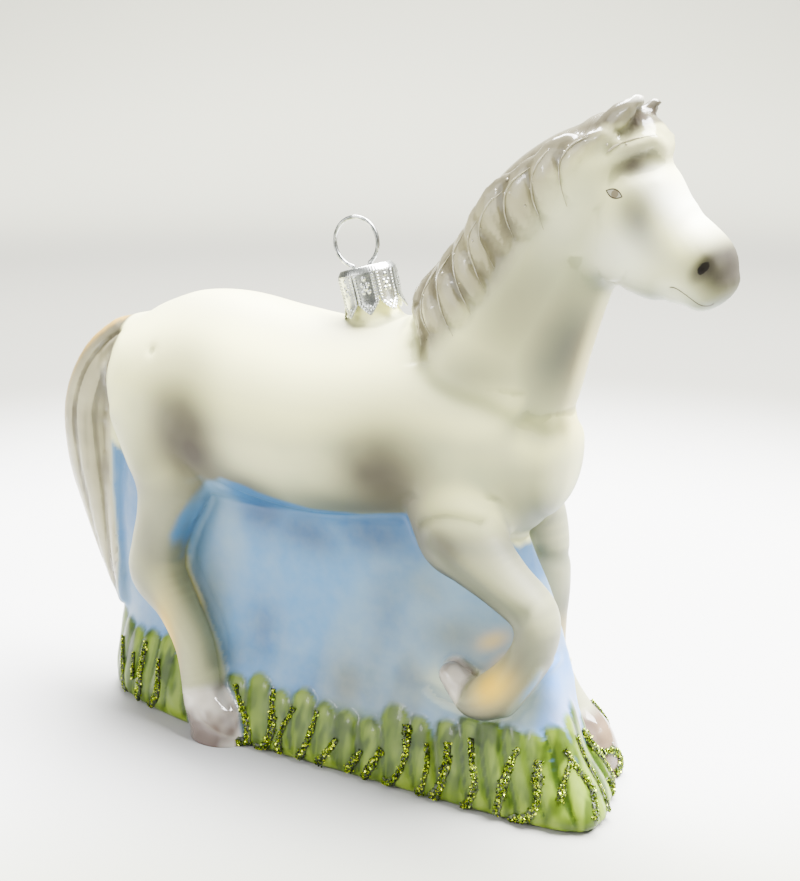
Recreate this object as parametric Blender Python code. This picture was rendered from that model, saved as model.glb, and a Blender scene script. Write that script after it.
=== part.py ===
"""Blown glass horse ornament: a walking horse on a glass panel, with a metal cap and a wire hanger.

Frame: the horse faces +X, its right side is -Y, +Z is up, and the grass base stands on z = 0.
The glass is drawn in side view: every limb is a loft along a path in the XZ plane, with a half depth
in that plane and a half width across it.  The lofts are fused into one body, as the glass is blown in
one mould, and the body is then parted by thin cuts into the pieces that a person would name.
Lengths in the tables are millimetres and are turned into metres by MM.
"""
import math

import bmesh
import bpy
import numpy as np
from mathutils import Matrix, Vector

MM = 0.001

# ---- driving dimensions (mm) -------------------------------------------------------------------
DRAWN_MIDDLE = 0.6          # x in the tables of the middle of the bounding box
BASE_FRONT = 57.0           # the grass base's front end
BASE_BACK = -57.2           # its back end
BASE_HALF_WIDTH = 17.0      # half its width on the floor
FLOOR_CUT = 0.0             # the level that the base stands on
PANEL_HALF_WIDTH = 9.0      # the glass panel between the legs
GRASS_BLADES = 14           # along each side of the base
CUT = 0.32                  # gap left by each thin cut

SKIN_VOXEL = 1.25           # grid that fuses the lofts
SKIN_KEEP = 0.066           # share of the fused triangles that is kept
RING_SIDES = 28             # points round a loft

CAP_TOP = (3.6, 92.3)       # middle of the cap's top disc: x, z
CAP_LEAN = math.radians(15)  # the cap leans towards the tail
CAP_RADIUS = 5.35
CAP_DISC_RADIUS = 4.45       # the flat top, inside the chamfer
CAP_CHAMFER = 1.2           # height of the chamfer between the top and the petals
CAP_HEIGHT = 8.7            # top disc to the petals' tips
CAP_WALL = 0.5
CAP_PETALS = 8
CAP_STEPS = 6               # facets across one petal
PETAL_GAP = 0.55            # slot between two petals
PETAL_POINT = 2.3           # height of a petal's pointed end
SPOUT_RADIUS = 4.2
SPOUT_BORE = 3.4            # radius of its hole
SPOUT_TOP = -0.9            # below the cap's top disc
SPOUT_FOOT = -10.8          # where it meets the horse's back
SPOUT_SIDES = 28

WIRE_RADIUS = 0.38
WIRE_HOLE_RADIUS = 0.8
LOOP_CENTRE = (-0.8, 4.5)   # middle of the round loop, along the cap's own x and axis
LOOP_RADIUS = 4.5           # to the middle of the wire
LOOP_SPREAD = 1.8           # half the distance between the two legs at the cap
LOOP_LEG_FOOT = -6.5        # how far the legs reach down the spout
LOOP_LEG_SPRING = 0.15      # how far each leg spreads inside the spout
LOOP_POINTS = 40            # points round the loop

# ---- loft tables -------------------------------------------------------------------------------
# Each row: x, z, half depth in the XZ plane, half width across it, y of its middle.
TRUNK = (
    (-53.0, 65.5, 7.0, 6.5, 0.0),
    (-49.5, 65.6, 12.4, 10.8, 0.0),
    (-44.0, 65.2, 16.6, 14.4, 0.0),
    (-36.0, 64.8, 19.6, 16.6, 0.0),
    (-26.0, 65.0, 20.6, 17.6, 0.0),
    (-14.0, 64.0, 20.0, 17.8, 0.0),
    (-2.0, 63.6, 19.2, 17.8, 0.0),
    (10.0, 64.9, 18.5, 17.3, 0.0),
    (20.0, 66.2, 18.2, 16.4, 0.0),
    (30.0, 64.8, 17.4, 14.8, 0.0),
    (36.6, 62.0, 15.4, 12.2, 0.0),
    (41.4, 61.4, 10.6, 9.2, 0.0),
)
NECK = (
    (27.0, 72.5, 16.0, 13.0, 0.0),
    (29.6, 78.2, 16.6, 11.8, 0.0),
    (33.6, 86.8, 15.0, 10.2, 0.0),
    (37.2, 94.4, 13.8, 9.2, 0.0),
    (40.7, 101.3, 13.0, 8.7, 0.0),
    (45.7, 107.6, 10.9, 8.3, 0.0),
    (50.6, 112.6, 8.0, 7.4, 0.0),
)
HEAD = (
    (51.2, 112.8, 6.2, 6.6, 0.0),
    (53.4, 107.8, 8.0, 7.9, 0.0),
    (56.1, 101.5, 8.9, 8.3, 0.0),
    (60.0, 98.6, 8.4, 7.5, 0.0),
    (63.4, 97.1, 7.0, 6.8, 0.0),
    (66.0, 95.1, 6.4, 6.2, 0.0),
    (68.0, 92.9, 4.5, 5.0, 0.0),
)
JAW = (
    (49.6, 98.0, 4.8, 5.2, 0.0),
    (54.4, 97.3, 4.9, 5.8, 0.0),
    (59.0, 97.0, 4.5, 5.4, 0.0),
    (62.6, 95.8, 4.4, 4.8, 0.0),
)
FORELOCK = (
    (49.5, 118.0, 2.2, 3.6, 0.0),
    (53.6, 118.0, 2.7, 4.6, 0.0),
    (57.0, 116.0, 2.4, 4.2, 0.0),
    (58.3, 112.4, 1.6, 3.0, 0.0),
)
TAIL = (
    (-46.0, 77.4, 3.0, 4.0, 0.0),
    (-52.0, 74.6, 4.6, 4.8, 0.0),
    (-58.6, 67.8, 6.2, 5.2, 0.0),
    (-62.9, 58.4, 7.1, 5.0, 0.0),
    (-63.0, 48.0, 7.0, 4.8, 0.0),
    (-61.0, 38.5, 6.0, 4.4, 0.0),
    (-59.2, 30.0, 4.5, 4.0, 0.0),
    (-58.0, 23.0, 2.9, 3.3, 0.0),
    (-57.0, 17.0, 1.8, 2.5, 0.0),
)
RIGHT_HIND = (
    (-38.0, 64.0, 12.0, 6.5, -9.5),
    (-34.0, 54.5, 10.4, 6.6, -10.8),
    (-33.4, 48.0, 8.0, 6.2, -11.4),
    (-35.0, 42.0, 6.0, 5.7, -11.9),
    (-37.0, 36.0, 5.4, 5.2, -12.2),
    (-37.2, 30.5, 5.8, 5.0, -12.6),
    (-32.2, 24.5, 3.9, 4.4, -13.2),
    (-28.2, 18.0, 3.6, 4.0, -13.8),
    (-26.2, 12.0, 3.8, 4.1, -14.4),
    (-24.6, 7.0, 4.5, 4.7, -14.8),
    (-22.0, 2.6, 6.0, 5.4, -14.8),
    (-21.0, -2.2, 6.8, 5.6, -14.6),
)
LEFT_HIND = (
    (-40.0, 64.0, 12.0, 6.5, 9.5),
    (-39.0, 54.0, 10.8, 6.6, 10.8),
    (-43.2, 44.5, 7.0, 6.0, 11.6),
    (-47.0, 37.0, 5.6, 5.0, 12.0),
    (-48.6, 30.5, 5.5, 4.9, 12.4),
    (-47.4, 23.0, 4.7, 4.4, 13.0),
    (-45.4, 15.5, 4.4, 4.2, 13.8),
    (-43.4, 10.0, 4.4, 4.5, 14.4),
    (-40.6, 6.0, 4.9, 5.0, 14.8),
    (-37.6, 2.2, 6.0, 5.4, 14.8),
    (-36.6, -2.2, 6.6, 5.6, 14.6),
)
RIGHT_FORE = (
    (26.5, 57.0, 8.0, 6.0, -8.6),
    (28.6, 50.4, 9.0, 6.0, -10.8),
    (33.6, 46.0, 6.3, 5.6, -12.0),
    (38.9, 42.2, 4.6, 5.1, -12.8),
    (44.5, 38.0, 4.0, 4.8, -13.3),
    (44.8, 32.6, 3.7, 4.6, -13.4),
    (41.6, 26.8, 3.6, 4.3, -13.4),
    (37.3, 21.8, 4.1, 4.3, -13.3),
    (33.6, 20.0, 3.6, 3.8, -13.0),
    (30.6, 21.2, 2.8, 3.2, -12.4),
    (28.0, 23.0, 2.2, 2.6, -11.8),
)
LEFT_FORE = (
    (27.6, 60.0, 9.5, 6.5, 8.5),
    (32.0, 49.5, 7.4, 6.0, 10.0),
    (34.8, 41.0, 5.6, 5.2, 10.2),
    (35.4, 34.0, 5.4, 4.9, 10.0),
    (35.2, 28.0, 5.2, 4.7, 9.8),
    (35.8, 20.5, 4.9, 4.3, 9.6),
    (38.4, 14.0, 5.0, 4.4, 9.6),
    (41.8, 9.0, 5.2, 4.8, 9.6),
    (45.2, 4.6, 6.0, 5.4, 9.4),
    (46.8, -2.2, 6.4, 5.8, 9.2),
)
# The panel's rear edge, which thins and closes the space between the rump and the tail.
TAIL_WEB = (
    (-54.0, 68.0, 4.0, 3.6, 0.0),
    (-55.4, 58.0, 4.2, 3.6, 0.0),
    (-55.8, 48.0, 4.2, 3.8, 0.0),
    (-55.6, 38.0, 4.2, 4.4, 0.0),
    (-54.8, 28.0, 3.6, 5.2, 0.0),
    (-53.6, 19.0, 2.6, 6.0, 0.0),
)
# Panel and base, stacked upwards: z, back end, front end, half width.
PANEL = (
    (-3.0, BASE_BACK + 2.2, BASE_FRONT - 2.4, BASE_HALF_WIDTH - 2.0),
    (0.6, BASE_BACK + 0.5, BASE_FRONT - 0.6, BASE_HALF_WIDTH - 0.5),
    (1.6, BASE_BACK, BASE_FRONT, BASE_HALF_WIDTH),
    (5.0, BASE_BACK - 0.2, BASE_FRONT - 1.6, BASE_HALF_WIDTH - 0.9),
    (10.0, BASE_BACK + 0.4, BASE_FRONT - 5.0, BASE_HALF_WIDTH - 3.4),
    (16.0, BASE_BACK + 0.9, BASE_FRONT - 7.6, PANEL_HALF_WIDTH + 2.0),
    (24.0, BASE_BACK + 0.9, BASE_FRONT - 11.2, PANEL_HALF_WIDTH + 0.4),
    (36.0, BASE_BACK + 1.0, BASE_FRONT - 15.2, PANEL_HALF_WIDTH),
    (43.0, BASE_BACK + 2.0, BASE_FRONT - 18.6, PANEL_HALF_WIDTH),
    (50.0, BASE_BACK + 3.0, BASE_FRONT - 22.0, PANEL_HALF_WIDTH),
    (60.0, BASE_BACK + 4.0, BASE_FRONT - 29.0, PANEL_HALF_WIDTH - 1.0),
)
# How square the base is in plan at each corner, where 2 is an ellipse.
SQUARE_FRONT_RIGHT = 9.0
SQUARE_FRONT_LEFT = 2.2
SQUARE_BACK = 2.4
# The base's front end runs back as it goes to the left side: how far per mm across, and from where.
FRONT_SLANT = 0.25
SLANT_FROM = -9.0
SLANT_TOP = 26.0
SLANT_DEPTH = 16.0
SLANT_BACK = 20.0
SLANT_LENGTH = 32.0

# ---- material finishes: colour, roughness, metallic ----------------------------------------------
FROSTED_WHITE = ((0.87, 0.87, 0.81), 0.42, 0.0)
WARM_GREY = ((0.36, 0.34, 0.29), 0.18, 0.0)
SKY_BLUE = ((0.34, 0.53, 0.80), 0.22, 0.0)
GRASS_GREEN = ((0.28, 0.42, 0.08), 0.24, 0.0)
SILVER = ((0.82, 0.83, 0.85), 0.22, 1.0)
WIRE_STEEL = ((0.62, 0.63, 0.65), 0.18, 1.0)


# ---- lofts -------------------------------------------------------------------------------------
def smooth_rows(rows, steps):
    """Rows of numbers read from a Catmull-Rom curve through the given rows."""
    points = np.array(rows, dtype=float)
    padded = np.vstack((2 * points[0] - points[1], points, 2 * points[-1] - points[-2]))
    curve = []
    for index in range(len(points) - 1):
        before, start, end, after = padded[index:index + 4]
        for step in range(steps):
            t = step / steps
            curve.append(0.5 * (
                2 * start
                + (end - before) * t
                + (2 * before - 5 * start + 4 * end - after) * t * t
                + (3 * start - before - 3 * end + after) * t ** 3
            ))
    curve.append(points[-1])
    return np.array(curve)


def skin_rings(rings, bm):
    """Join a row of rings, point to point, and close both ends."""
    loops = [[bm.verts.new(Vector(point) * MM) for point in ring] for ring in rings]
    for lower, upper in zip(loops, loops[1:]):
        for i in range(len(lower)):
            bm.faces.new((lower[i - 1], lower[i], upper[i], upper[i - 1]))
    bm.faces.new(loops[0][::-1])
    bm.faces.new(loops[-1])


def add_limb(bm, rows, steps=3, domes=3, bulge=1.0):
    """A loft of elliptical rings along a path in the XZ plane, with a dome on each end."""
    stations = smooth_rows(rows, steps)
    path = stations[:, :2]
    along = np.gradient(path, axis=0)
    along /= np.linalg.norm(along, axis=1)[:, None]
    turns = np.linspace(0, 2 * math.pi, RING_SIDES, endpoint=False)

    def ring(centre, direction, depth, width, y):
        across = np.array((-direction[1], direction[0]))
        flat = centre + np.outer(np.cos(turns) * depth, across)
        return np.column_stack((flat[:, 0], y + np.sin(turns) * width, flat[:, 1]))

    rings = []
    first, last = stations[0], stations[-1]
    angles = [math.pi / 2 * (k + 0.35) / (domes + 0.35) for k in range(domes)]
    for angle in angles:
        reach = bulge * min(first[2], first[3]) * math.cos(angle)
        rings.append(ring(path[0] - along[0] * reach, along[0],
                          first[2] * math.sin(angle), first[3] * math.sin(angle), first[4]))
    for row, centre, direction in zip(stations, path, along):
        rings.append(ring(centre, direction, row[2], row[3], row[4]))
    for angle in reversed(angles):
        reach = bulge * min(last[2], last[3]) * math.cos(angle)
        rings.append(ring(path[-1] + along[-1] * reach, along[-1],
                          last[2] * math.sin(angle), last[3] * math.sin(angle), last[4]))
    skin_rings(rings, bm)


def add_panel(bm):
    """The panel and its flared base: level rings, squarest at the right front corner."""
    turns = np.linspace(0, 2 * math.pi, 72, endpoint=False)
    cosine, sine = np.cos(turns), np.sin(turns)
    square_front = np.where(sine > 0, SQUARE_FRONT_LEFT, SQUARE_FRONT_RIGHT)
    power = 2 / np.where(cosine > 0, square_front, SQUARE_BACK)
    rings = []
    for z, back, front, half_width in smooth_rows(PANEL, 3):
        middle, half_length = (back + front) / 2, (front - back) / 2
        x = middle + half_length * np.sign(cosine) * np.abs(cosine) ** power
        y = half_width * np.sign(sine) * np.abs(sine) ** power
        low = np.clip((SLANT_TOP - z) / SLANT_DEPTH, 0, 1)
        ahead = np.clip((x - SLANT_BACK) / SLANT_LENGTH, 0, 1)
        x = x - FRONT_SLANT * low * ahead * np.maximum(y - SLANT_FROM, 0)
        rings.append(np.column_stack((x, y, np.full(len(turns), z))))
    skin_rings(rings, bm)


def add_ear(bm, side):
    """A short ear: a tapering loft that leans outwards a little."""
    add_limb(bm, (
        (52.6, 116.0, 3.4, 2.6, side * 4.0),
        (53.6, 119.2, 2.8, 2.2, side * 4.6),
        (54.6, 121.6, 1.6, 1.5, side * 5.0),
    ))


def add_face(bm, side):
    """One side's brow, round cheek and nostril, as low swellings of the head."""
    add_limb(bm, ((56.6, 111.2, 2.0, 1.6, side * 5.6), (59.4, 108.6, 2.0, 1.6, side * 5.2)), domes=2)
    add_limb(bm, ((51.6, 99.8, 5.0, 2.2, side * 6.4), (54.0, 97.4, 5.0, 2.2, side * 6.2)), domes=2)
    add_limb(bm, ((66.6, 98.0, 1.7, 1.4, side * 4.8), (68.4, 95.8, 1.8, 1.4, side * 4.4)), domes=2)


def add_mane_locks(bm, side):
    """S-shaped locks that hang from the crest, down both sides of the neck."""
    crest = smooth_rows(((44.5, 117.0), (35.5, 111.4), (28.4, 103.6), (22.0, 96.2), (16.8, 89.4)), 2)
    for index, (x, z) in enumerate(crest):
        shift = 0.9 * math.sin(index * 2.1 + side)
        length = min(1.0, 0.45 + 0.2 * index)
        spread = 0.03 * (110 - z)
        add_limb(bm, (
            (x + 1.0, z - 0.6, 1.9, 1.5, side * 2.6),
            (x + 4.6 * length + shift, z - 3.4 * length, 2.1, 1.4, side * 6.8),
            (x + 6.6 * length, z - 8.0 * length, 1.8, 1.2, side * (8.2 + spread)),
            (x + 9.4 * length, z - 12.2 * length, 1.0, 0.9, side * (8.6 + spread * 1.4)),
        ), steps=2, domes=2)


def add_grass(bm, side):
    """Tongue-shaped blades that lie against the flare of the base, along one side."""
    for index in range(GRASS_BLADES):
        share = index / (GRASS_BLADES - 1)
        x = BASE_BACK + 9 + share * (BASE_FRONT - BASE_BACK - 19.5)
        top = 14.0 + 1.6 * math.sin(index * 1.9 + side) + 1.6 * share
        lean = 1.2 * math.sin(index * 2.7)
        add_limb(bm, (
            (x, 2.6, 2.7, 1.9, side * (base_half_width(x, side, BASE_HALF_WIDTH) - 1.7)),
            (x + 0.3 * lean, 8.0, 3.0, 1.9, side * (base_half_width(x, side, BASE_HALF_WIDTH - 2.2) - 1.4)),
            (x + 0.8 * lean - 2.2 * share ** 4, top, 2.2, 1.6, side * (base_half_width(x, side, PANEL_HALF_WIDTH + 2.2) - 1.0)),
        ), steps=2, domes=2)


def base_half_width(x, side, widest):
    """Half the base's width at a place along it, on one side: a superellipse in plan."""
    middle, half_length = (BASE_FRONT + BASE_BACK) / 2, (BASE_FRONT - BASE_BACK) / 2
    square = SQUARE_BACK
    if x > middle:
        square = SQUARE_FRONT_LEFT if side > 0 else SQUARE_FRONT_RIGHT
    return widest * (1 - abs((x - middle) / half_length) ** square) ** (1 / square)


# ---- mesh tools ----------------------------------------------------------------------------------
def new_object(name, bm):
    """An object from a bmesh, with its faces pointing out."""
    bmesh.ops.recalc_face_normals(bm, faces=bm.faces)
    mesh = bpy.data.meshes.new(name)
    bm.to_mesh(mesh)
    bm.free()
    thing = bpy.data.objects.new(name, mesh)
    bpy.context.scene.collection.objects.link(thing)
    return thing


def settle(thing):
    """Replace an object's mesh by what its modifiers make of it."""
    bpy.context.view_layer.update()
    graph = bpy.context.evaluated_depsgraph_get()
    mesh = bpy.data.meshes.new_from_object(thing.evaluated_get(graph))
    thing.modifiers.clear()
    thing.data = mesh


def cut(thing, tool, operation):
    """Apply an exact Boolean with the given tool, and keep the tool."""
    step = thing.modifiers.new("cut", "BOOLEAN")
    step.solver = "EXACT"
    step.operation = operation
    step.object = tool
    settle(thing)


def drop_crumbs(thing):
    """Keep only the largest of the bodies that a cut has left, and drop the slivers."""
    bm = bmesh.new()
    bm.from_mesh(thing.data)
    waiting = set(bm.verts)
    bodies = []
    while waiting:
        body = set()
        edge_of_body = [waiting.pop()]
        while edge_of_body:
            vert = edge_of_body.pop()
            body.add(vert)
            for edge in vert.link_edges:
                neighbour = edge.other_vert(vert)
                if neighbour in waiting:
                    waiting.discard(neighbour)
                    edge_of_body.append(neighbour)
        bodies.append(body)
    bodies.sort(key=len)
    for crumb in bodies[:-1]:
        bmesh.ops.delete(bm, geom=list(crumb), context="VERTS")
    bm.to_mesh(thing.data)
    bm.free()


def remove(thing):
    bpy.data.objects.remove(thing)


def finish_with(thing, name, finish):
    """Give a piece its name, its material and smooth shading."""
    colour, roughness, metallic = finish
    material = bpy.data.materials.new(name)
    material.use_nodes = True
    shader = material.node_tree.nodes["Principled BSDF"]
    shader.inputs["Base Color"].default_value = (*colour, 1.0)
    shader.inputs["Roughness"].default_value = roughness
    shader.inputs["Metallic"].default_value = metallic
    thing.name = name
    thing.data.name = name
    thing.data.materials.clear()
    thing.data.materials.append(material)
    thing.data.shade_smooth()
    thing.data.set_sharp_from_angle(angle=math.radians(40))


def turned(name, profile, sides):
    """A body turned about the cap's axis from a profile of (radius, height) that closes on itself."""
    bm = bmesh.new()
    turns = (np.arange(sides) + 0.5) * 2 * math.pi / sides
    rings = [
        np.column_stack((radius * np.cos(turns), radius * np.sin(turns), np.full(sides, height)))
        for radius, height in profile
    ]
    skin_rings(rings, bm)
    return on_cap(new_object(name, bm))


def on_cap(thing):
    """Place a piece that is drawn about the cap's own axis."""
    thing.location = (CAP_TOP[0] * MM, 0, CAP_TOP[1] * MM)
    thing.rotation_euler = (0, -CAP_LEAN, 0)
    return thing


def moved_outline(outline, distance):
    """A closed outline in side view, moved outwards by a distance."""
    points = np.array(outline, dtype=float)
    before = points - np.roll(points, 1, axis=0)
    after = np.roll(points, -1, axis=0) - points
    area = np.sum(points[:, 0] * np.roll(points[:, 1], -1) - np.roll(points[:, 0], -1) * points[:, 1])
    turn = 1.0 if area > 0 else -1.0
    normal_before = np.column_stack((before[:, 1], -before[:, 0])) * turn
    normal_before /= np.linalg.norm(normal_before, axis=1)[:, None]
    normal_after = np.column_stack((after[:, 1], -after[:, 0])) * turn
    normal_after /= np.linalg.norm(normal_after, axis=1)[:, None]
    bisector = normal_before + normal_after
    reach = 2 * distance / np.sum(bisector * bisector, axis=1)
    return points + bisector * reach[:, None]


def cell(outline, low_y, high_y, swell):
    """A prism that picks out one named piece: an outline in side view, between two values of y."""
    bm = bmesh.new()
    points = moved_outline(outline, swell)
    verts = [bm.verts.new((x * MM, (low_y - swell) * MM, z * MM)) for x, z in points]
    face = bm.faces.new(verts)
    extruded = bmesh.ops.extrude_face_region(bm, geom=[face])
    moved = [item for item in extruded["geom"] if isinstance(item, bmesh.types.BMVert)]
    bmesh.ops.translate(bm, verts=moved, vec=(0, (high_y - low_y + 2 * swell) * MM, 0))
    prism = new_object("cell", bm)
    prism.hide_render = True
    prism.display_type = "WIRE"
    return prism


# ---- the glass -----------------------------------------------------------------------------------
def fused_glass():
    """All lofts fused into one closed body, cut level where it stands."""
    bm = bmesh.new()
    add_limb(bm, TRUNK, bulge=0.45)
    for rows in (NECK, HEAD, JAW, FORELOCK, TAIL, TAIL_WEB, RIGHT_HIND, LEFT_HIND, RIGHT_FORE, LEFT_FORE):
        add_limb(bm, rows)
    for side in (-1, 1):
        add_ear(bm, side)
        add_face(bm, side)
        add_mane_locks(bm, side)
        add_grass(bm, side)
    add_panel(bm)
    glass = new_object("glass", bm)

    fuse = glass.modifiers.new("fuse", "REMESH")
    fuse.mode = "VOXEL"
    fuse.voxel_size = SKIN_VOXEL * MM
    soften = glass.modifiers.new("soften", "SMOOTH")
    soften.factor = 0.5
    soften.iterations = 4
    thin = glass.modifiers.new("thin", "DECIMATE")
    thin.ratio = SKIN_KEEP
    settle(glass)

    below = cell(((-90, -20), (90, -20), (90, FLOOR_CUT), (-90, FLOOR_CUT)), -40, 40, 0)
    seat = turned("seat", ((SPOUT_RADIUS + CUT, SPOUT_FOOT - CUT), (SPOUT_RADIUS + CUT, CUT)), SPOUT_SIDES)
    for tool in (below, seat):
        cut(glass, tool, "DIFFERENCE")
        remove(tool)
    return glass


# Named pieces in the order in which they are parted off: name, finish, y range, outline (x, z).
FAR = 40.0
CELLS = (
    ("ear_right", WARM_GREY, -FAR, -2.9,
     ((49.4, 118.9), (52.0, 117.6), (56.4, 119.2), (58.0, 126.0), (48.0, 126.0))),
    ("ear_left", WARM_GREY, 2.9, FAR,
     ((49.4, 118.9), (52.0, 117.6), (56.4, 119.2), (58.0, 126.0), (48.0, 126.0))),
    ("mane", WARM_GREY, -FAR, FAR,
     ((50.2, 126.0), (50.2, 116.4), (47.0, 110.4), (42.6, 103.0), (37.0, 95.4), (30.8, 88.6), (24.6, 82.6),
      (20.0, 82.4), (15.8, 84.0), (10.5, 86.6), (12.0, 126.0))),
    ("head", FROSTED_WHITE, -FAR, FAR,
     ((50.4, 126.0), (50.4, 116.3), (45.2, 106.8), (45.6, 99.0), (48.6, 92.8), (52.0, 86.0), (80.0, 82.0),
      (80.0, 126.0))),
    ("neck", FROSTED_WHITE, -FAR, FAR,
     ((19.8, 82.2), (22.6, 75.8), (30.6, 72.0), (39.0, 69.6), (44.6, 69.2), (56.0, 73.0), (56.0, 92.0),
      (52.0, 98.0), (48.0, 112.0), (30.0, 112.0), (20.0, 92.0))),
    ("tail", WARM_GREY, -FAR, FAR,
     ((-47.2, 90.0), (-49.6, 77.4), (-52.6, 71.0), (-54.6, 64.0), (-55.6, 56.0), (-55.6, 43.0), (-54.9, 34.0),
      (-54.6, 28.0), (-54.8, 21.0), (-54.6, 16.0), (-62.0, 14.0), (-80.0, 18.0), (-80.0, 90.0))),
    ("leg_fore_right", FROSTED_WHITE, -FAR, -10.0,
     ((14.5, 47.0), (19.0, 54.6), (30.0, 57.0), (42.0, 51.0), (51.5, 41.0), (51.5, 33.0), (43.8, 17.6),
      (38.0, 13.8), (22.4, 14.6), (21.6, 26.8), (30.4, 27.8), (35.4, 33.0), (33.0, 36.6), (20.0, 41.6))),
    ("leg_hind_right", FROSTED_WHITE, -FAR, -9.7,
     ((-53.5, 56.0), (-40.0, 60.0), (-22.4, 53.0), (-26.0, 43.0), (-30.4, 33.0), (-27.0, 25.6), (-23.6, 17.6),
      (-20.8, 10.2), (-15.0, 5.0), (-12.6, -5.0), (-30.4, -5.0), (-31.0, 3.6), (-31.2, 10.0), (-33.6, 16.0),
      (-36.2, 21.5), (-43.6, 26.5), (-45.0, 31.0), (-44.0, 38.0), (-52.0, 46.0))),
    ("leg_fore_left", FROSTED_WHITE, 6.0, FAR,
     ((22.0, 50.0), (31.0, 56.4), (46.0, 50.0), (44.0, 34.0), (43.0, 18.0), (60.0, 6.0), (60.0, -5.0),
      (38.0, -5.0), (36.2, 6.0), (31.8, 13.0), (29.0, 26.0), (28.4, 40.0))),
    ("leg_hind_left", FROSTED_WHITE, 9.7, FAR,
     ((-54.0, 56.0), (-40.0, 60.0), (-26.5, 53.0), (-34.0, 42.0), (-40.4, 31.0), (-40.6, 16.0), (-37.4, 10.0),
      (-30.0, 4.6), (-28.0, -5.0), (-45.0, -5.0), (-49.4, 9.0), (-54.0, 20.0), (-57.0, 29.0), (-54.6, 38.0),
      (-54.6, 46.0))),
    ("grass_base", GRASS_GREEN, -FAR, FAR,
     ((-75.0, 16.4), (-45.0, 14.6), (-28.0, 12.6), (0.0, 11.4), (12.0, 11.0), (26.0, 14.0), (42.0, 16.2),
      (75.0, 19.0), (75.0, -5.0), (-75.0, -5.0))),
    ("sky_panel", SKY_BLUE, -FAR, FAR,
     ((-75.0, 17.0), (-70.0, 52.0), (-46.0, 52.4), (-22.0, 49.6), (-8.0, 47.4), (4.0, 47.4), (18.0, 49.0),
      (32.0, 49.4), (42.0, 49.0), (60.0, 48.0), (75.0, 5.0), (-75.0, 5.0))),
)


def part_glass(glass):
    """Part the fused body along the cells' outlines; what is left over is the trunk."""
    for name, finish, low_y, high_y, outline in CELLS:
        piece = glass.copy()
        piece.data = glass.data.copy()
        bpy.context.scene.collection.objects.link(piece)
        inner = cell(outline, low_y, high_y, 0)
        outer = cell(outline, low_y, high_y, CUT)
        cut(piece, inner, "INTERSECT")
        cut(glass, outer, "DIFFERENCE")
        drop_crumbs(piece)
        remove(inner)
        remove(outer)
        finish_with(piece, name, finish)
    drop_crumbs(glass)
    finish_with(glass, "trunk", FROSTED_WHITE)


# ---- cap, spout and hanger -------------------------------------------------------------------------
def wire_foot(side):
    """Where a leg of the hanger goes through the cap: its place along the cap's own x."""
    return LOOP_CENTRE[0] + side * LOOP_SPREAD


def make_spout():
    """The short glass tube on the horse's back that the cap closes."""
    spout = turned("spout", ((SPOUT_RADIUS, SPOUT_FOOT), (SPOUT_RADIUS, SPOUT_TOP)), SPOUT_SIDES)
    bore = turned("bore", ((SPOUT_BORE, SPOUT_FOOT + 1.2), (SPOUT_BORE, SPOUT_TOP + 1.0)), SPOUT_SIDES)
    cut(spout, bore, "DIFFERENCE")
    remove(bore)
    finish_with(spout, "glass_spout", FROSTED_WHITE)


def make_cap():
    """The thin metal cap: a chamfered top disc over petals with pointed ends."""
    sides = CAP_PETALS * CAP_STEPS
    turns = np.linspace(0, 2 * math.pi, sides, endpoint=False)
    off_middle = np.abs((np.arange(sides) % CAP_STEPS) - CAP_STEPS / 2) / (CAP_STEPS / 2)
    hem = -CAP_HEIGHT + PETAL_POINT * off_middle ** 1.3
    inner_radius = CAP_RADIUS - CAP_WALL
    profile = (
        (CAP_DISC_RADIUS * 0.4, 0.0),
        (CAP_DISC_RADIUS, 0.0),
        (CAP_RADIUS, -CAP_CHAMFER),
        (CAP_RADIUS, hem),
        (inner_radius, hem),
        (inner_radius, -CAP_CHAMFER - CAP_WALL * 0.4),
        (CAP_DISC_RADIUS - CAP_WALL, -CAP_WALL),
        (CAP_DISC_RADIUS * 0.4, -CAP_WALL),
    )
    rings = [
        np.column_stack((radius * np.cos(turns), radius * np.sin(turns), np.zeros(sides) + height))
        for radius, height in profile
    ]
    bm = bmesh.new()
    skin_rings(rings, bm)
    cap = on_cap(new_object("cap", bm))

    for petal in range(CAP_PETALS):
        slot = box_tool(
            (inner_radius - 1.0, -PETAL_GAP / 2, -CAP_HEIGHT - 1.0),
            (CAP_RADIUS + 1.0, PETAL_GAP / 2, -CAP_CHAMFER - 0.9),
            petal * 2 * math.pi / CAP_PETALS,
        )
        cut(cap, slot, "DIFFERENCE")
        remove(slot)
    for side in (-1, 1):
        hole = turned("hole", ((WIRE_HOLE_RADIUS, -1.5), (WIRE_HOLE_RADIUS, 1.0)), 12)
        hole.data.transform(Matrix.Translation((wire_foot(side) * MM, 0, 0)))
        cut(cap, hole, "DIFFERENCE")
        remove(hole)
    finish_with(cap, "metal_cap", SILVER)


def box_tool(low, high, turn):
    """A box drawn beside the cap's axis and turned round it."""
    bm = bmesh.new()
    bmesh.ops.create_cube(bm, size=1.0)
    size = (Vector(high) - Vector(low)) * MM
    middle = (Vector(high) + Vector(low)) / 2 * MM
    bmesh.ops.scale(bm, vec=size, verts=bm.verts)
    bmesh.ops.translate(bm, vec=middle, verts=bm.verts)
    bmesh.ops.rotate(bm, cent=(0, 0, 0), matrix=Matrix.Rotation(turn, 3, "Z"), verts=bm.verts)
    return on_cap(new_object("slot", bm))


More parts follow.
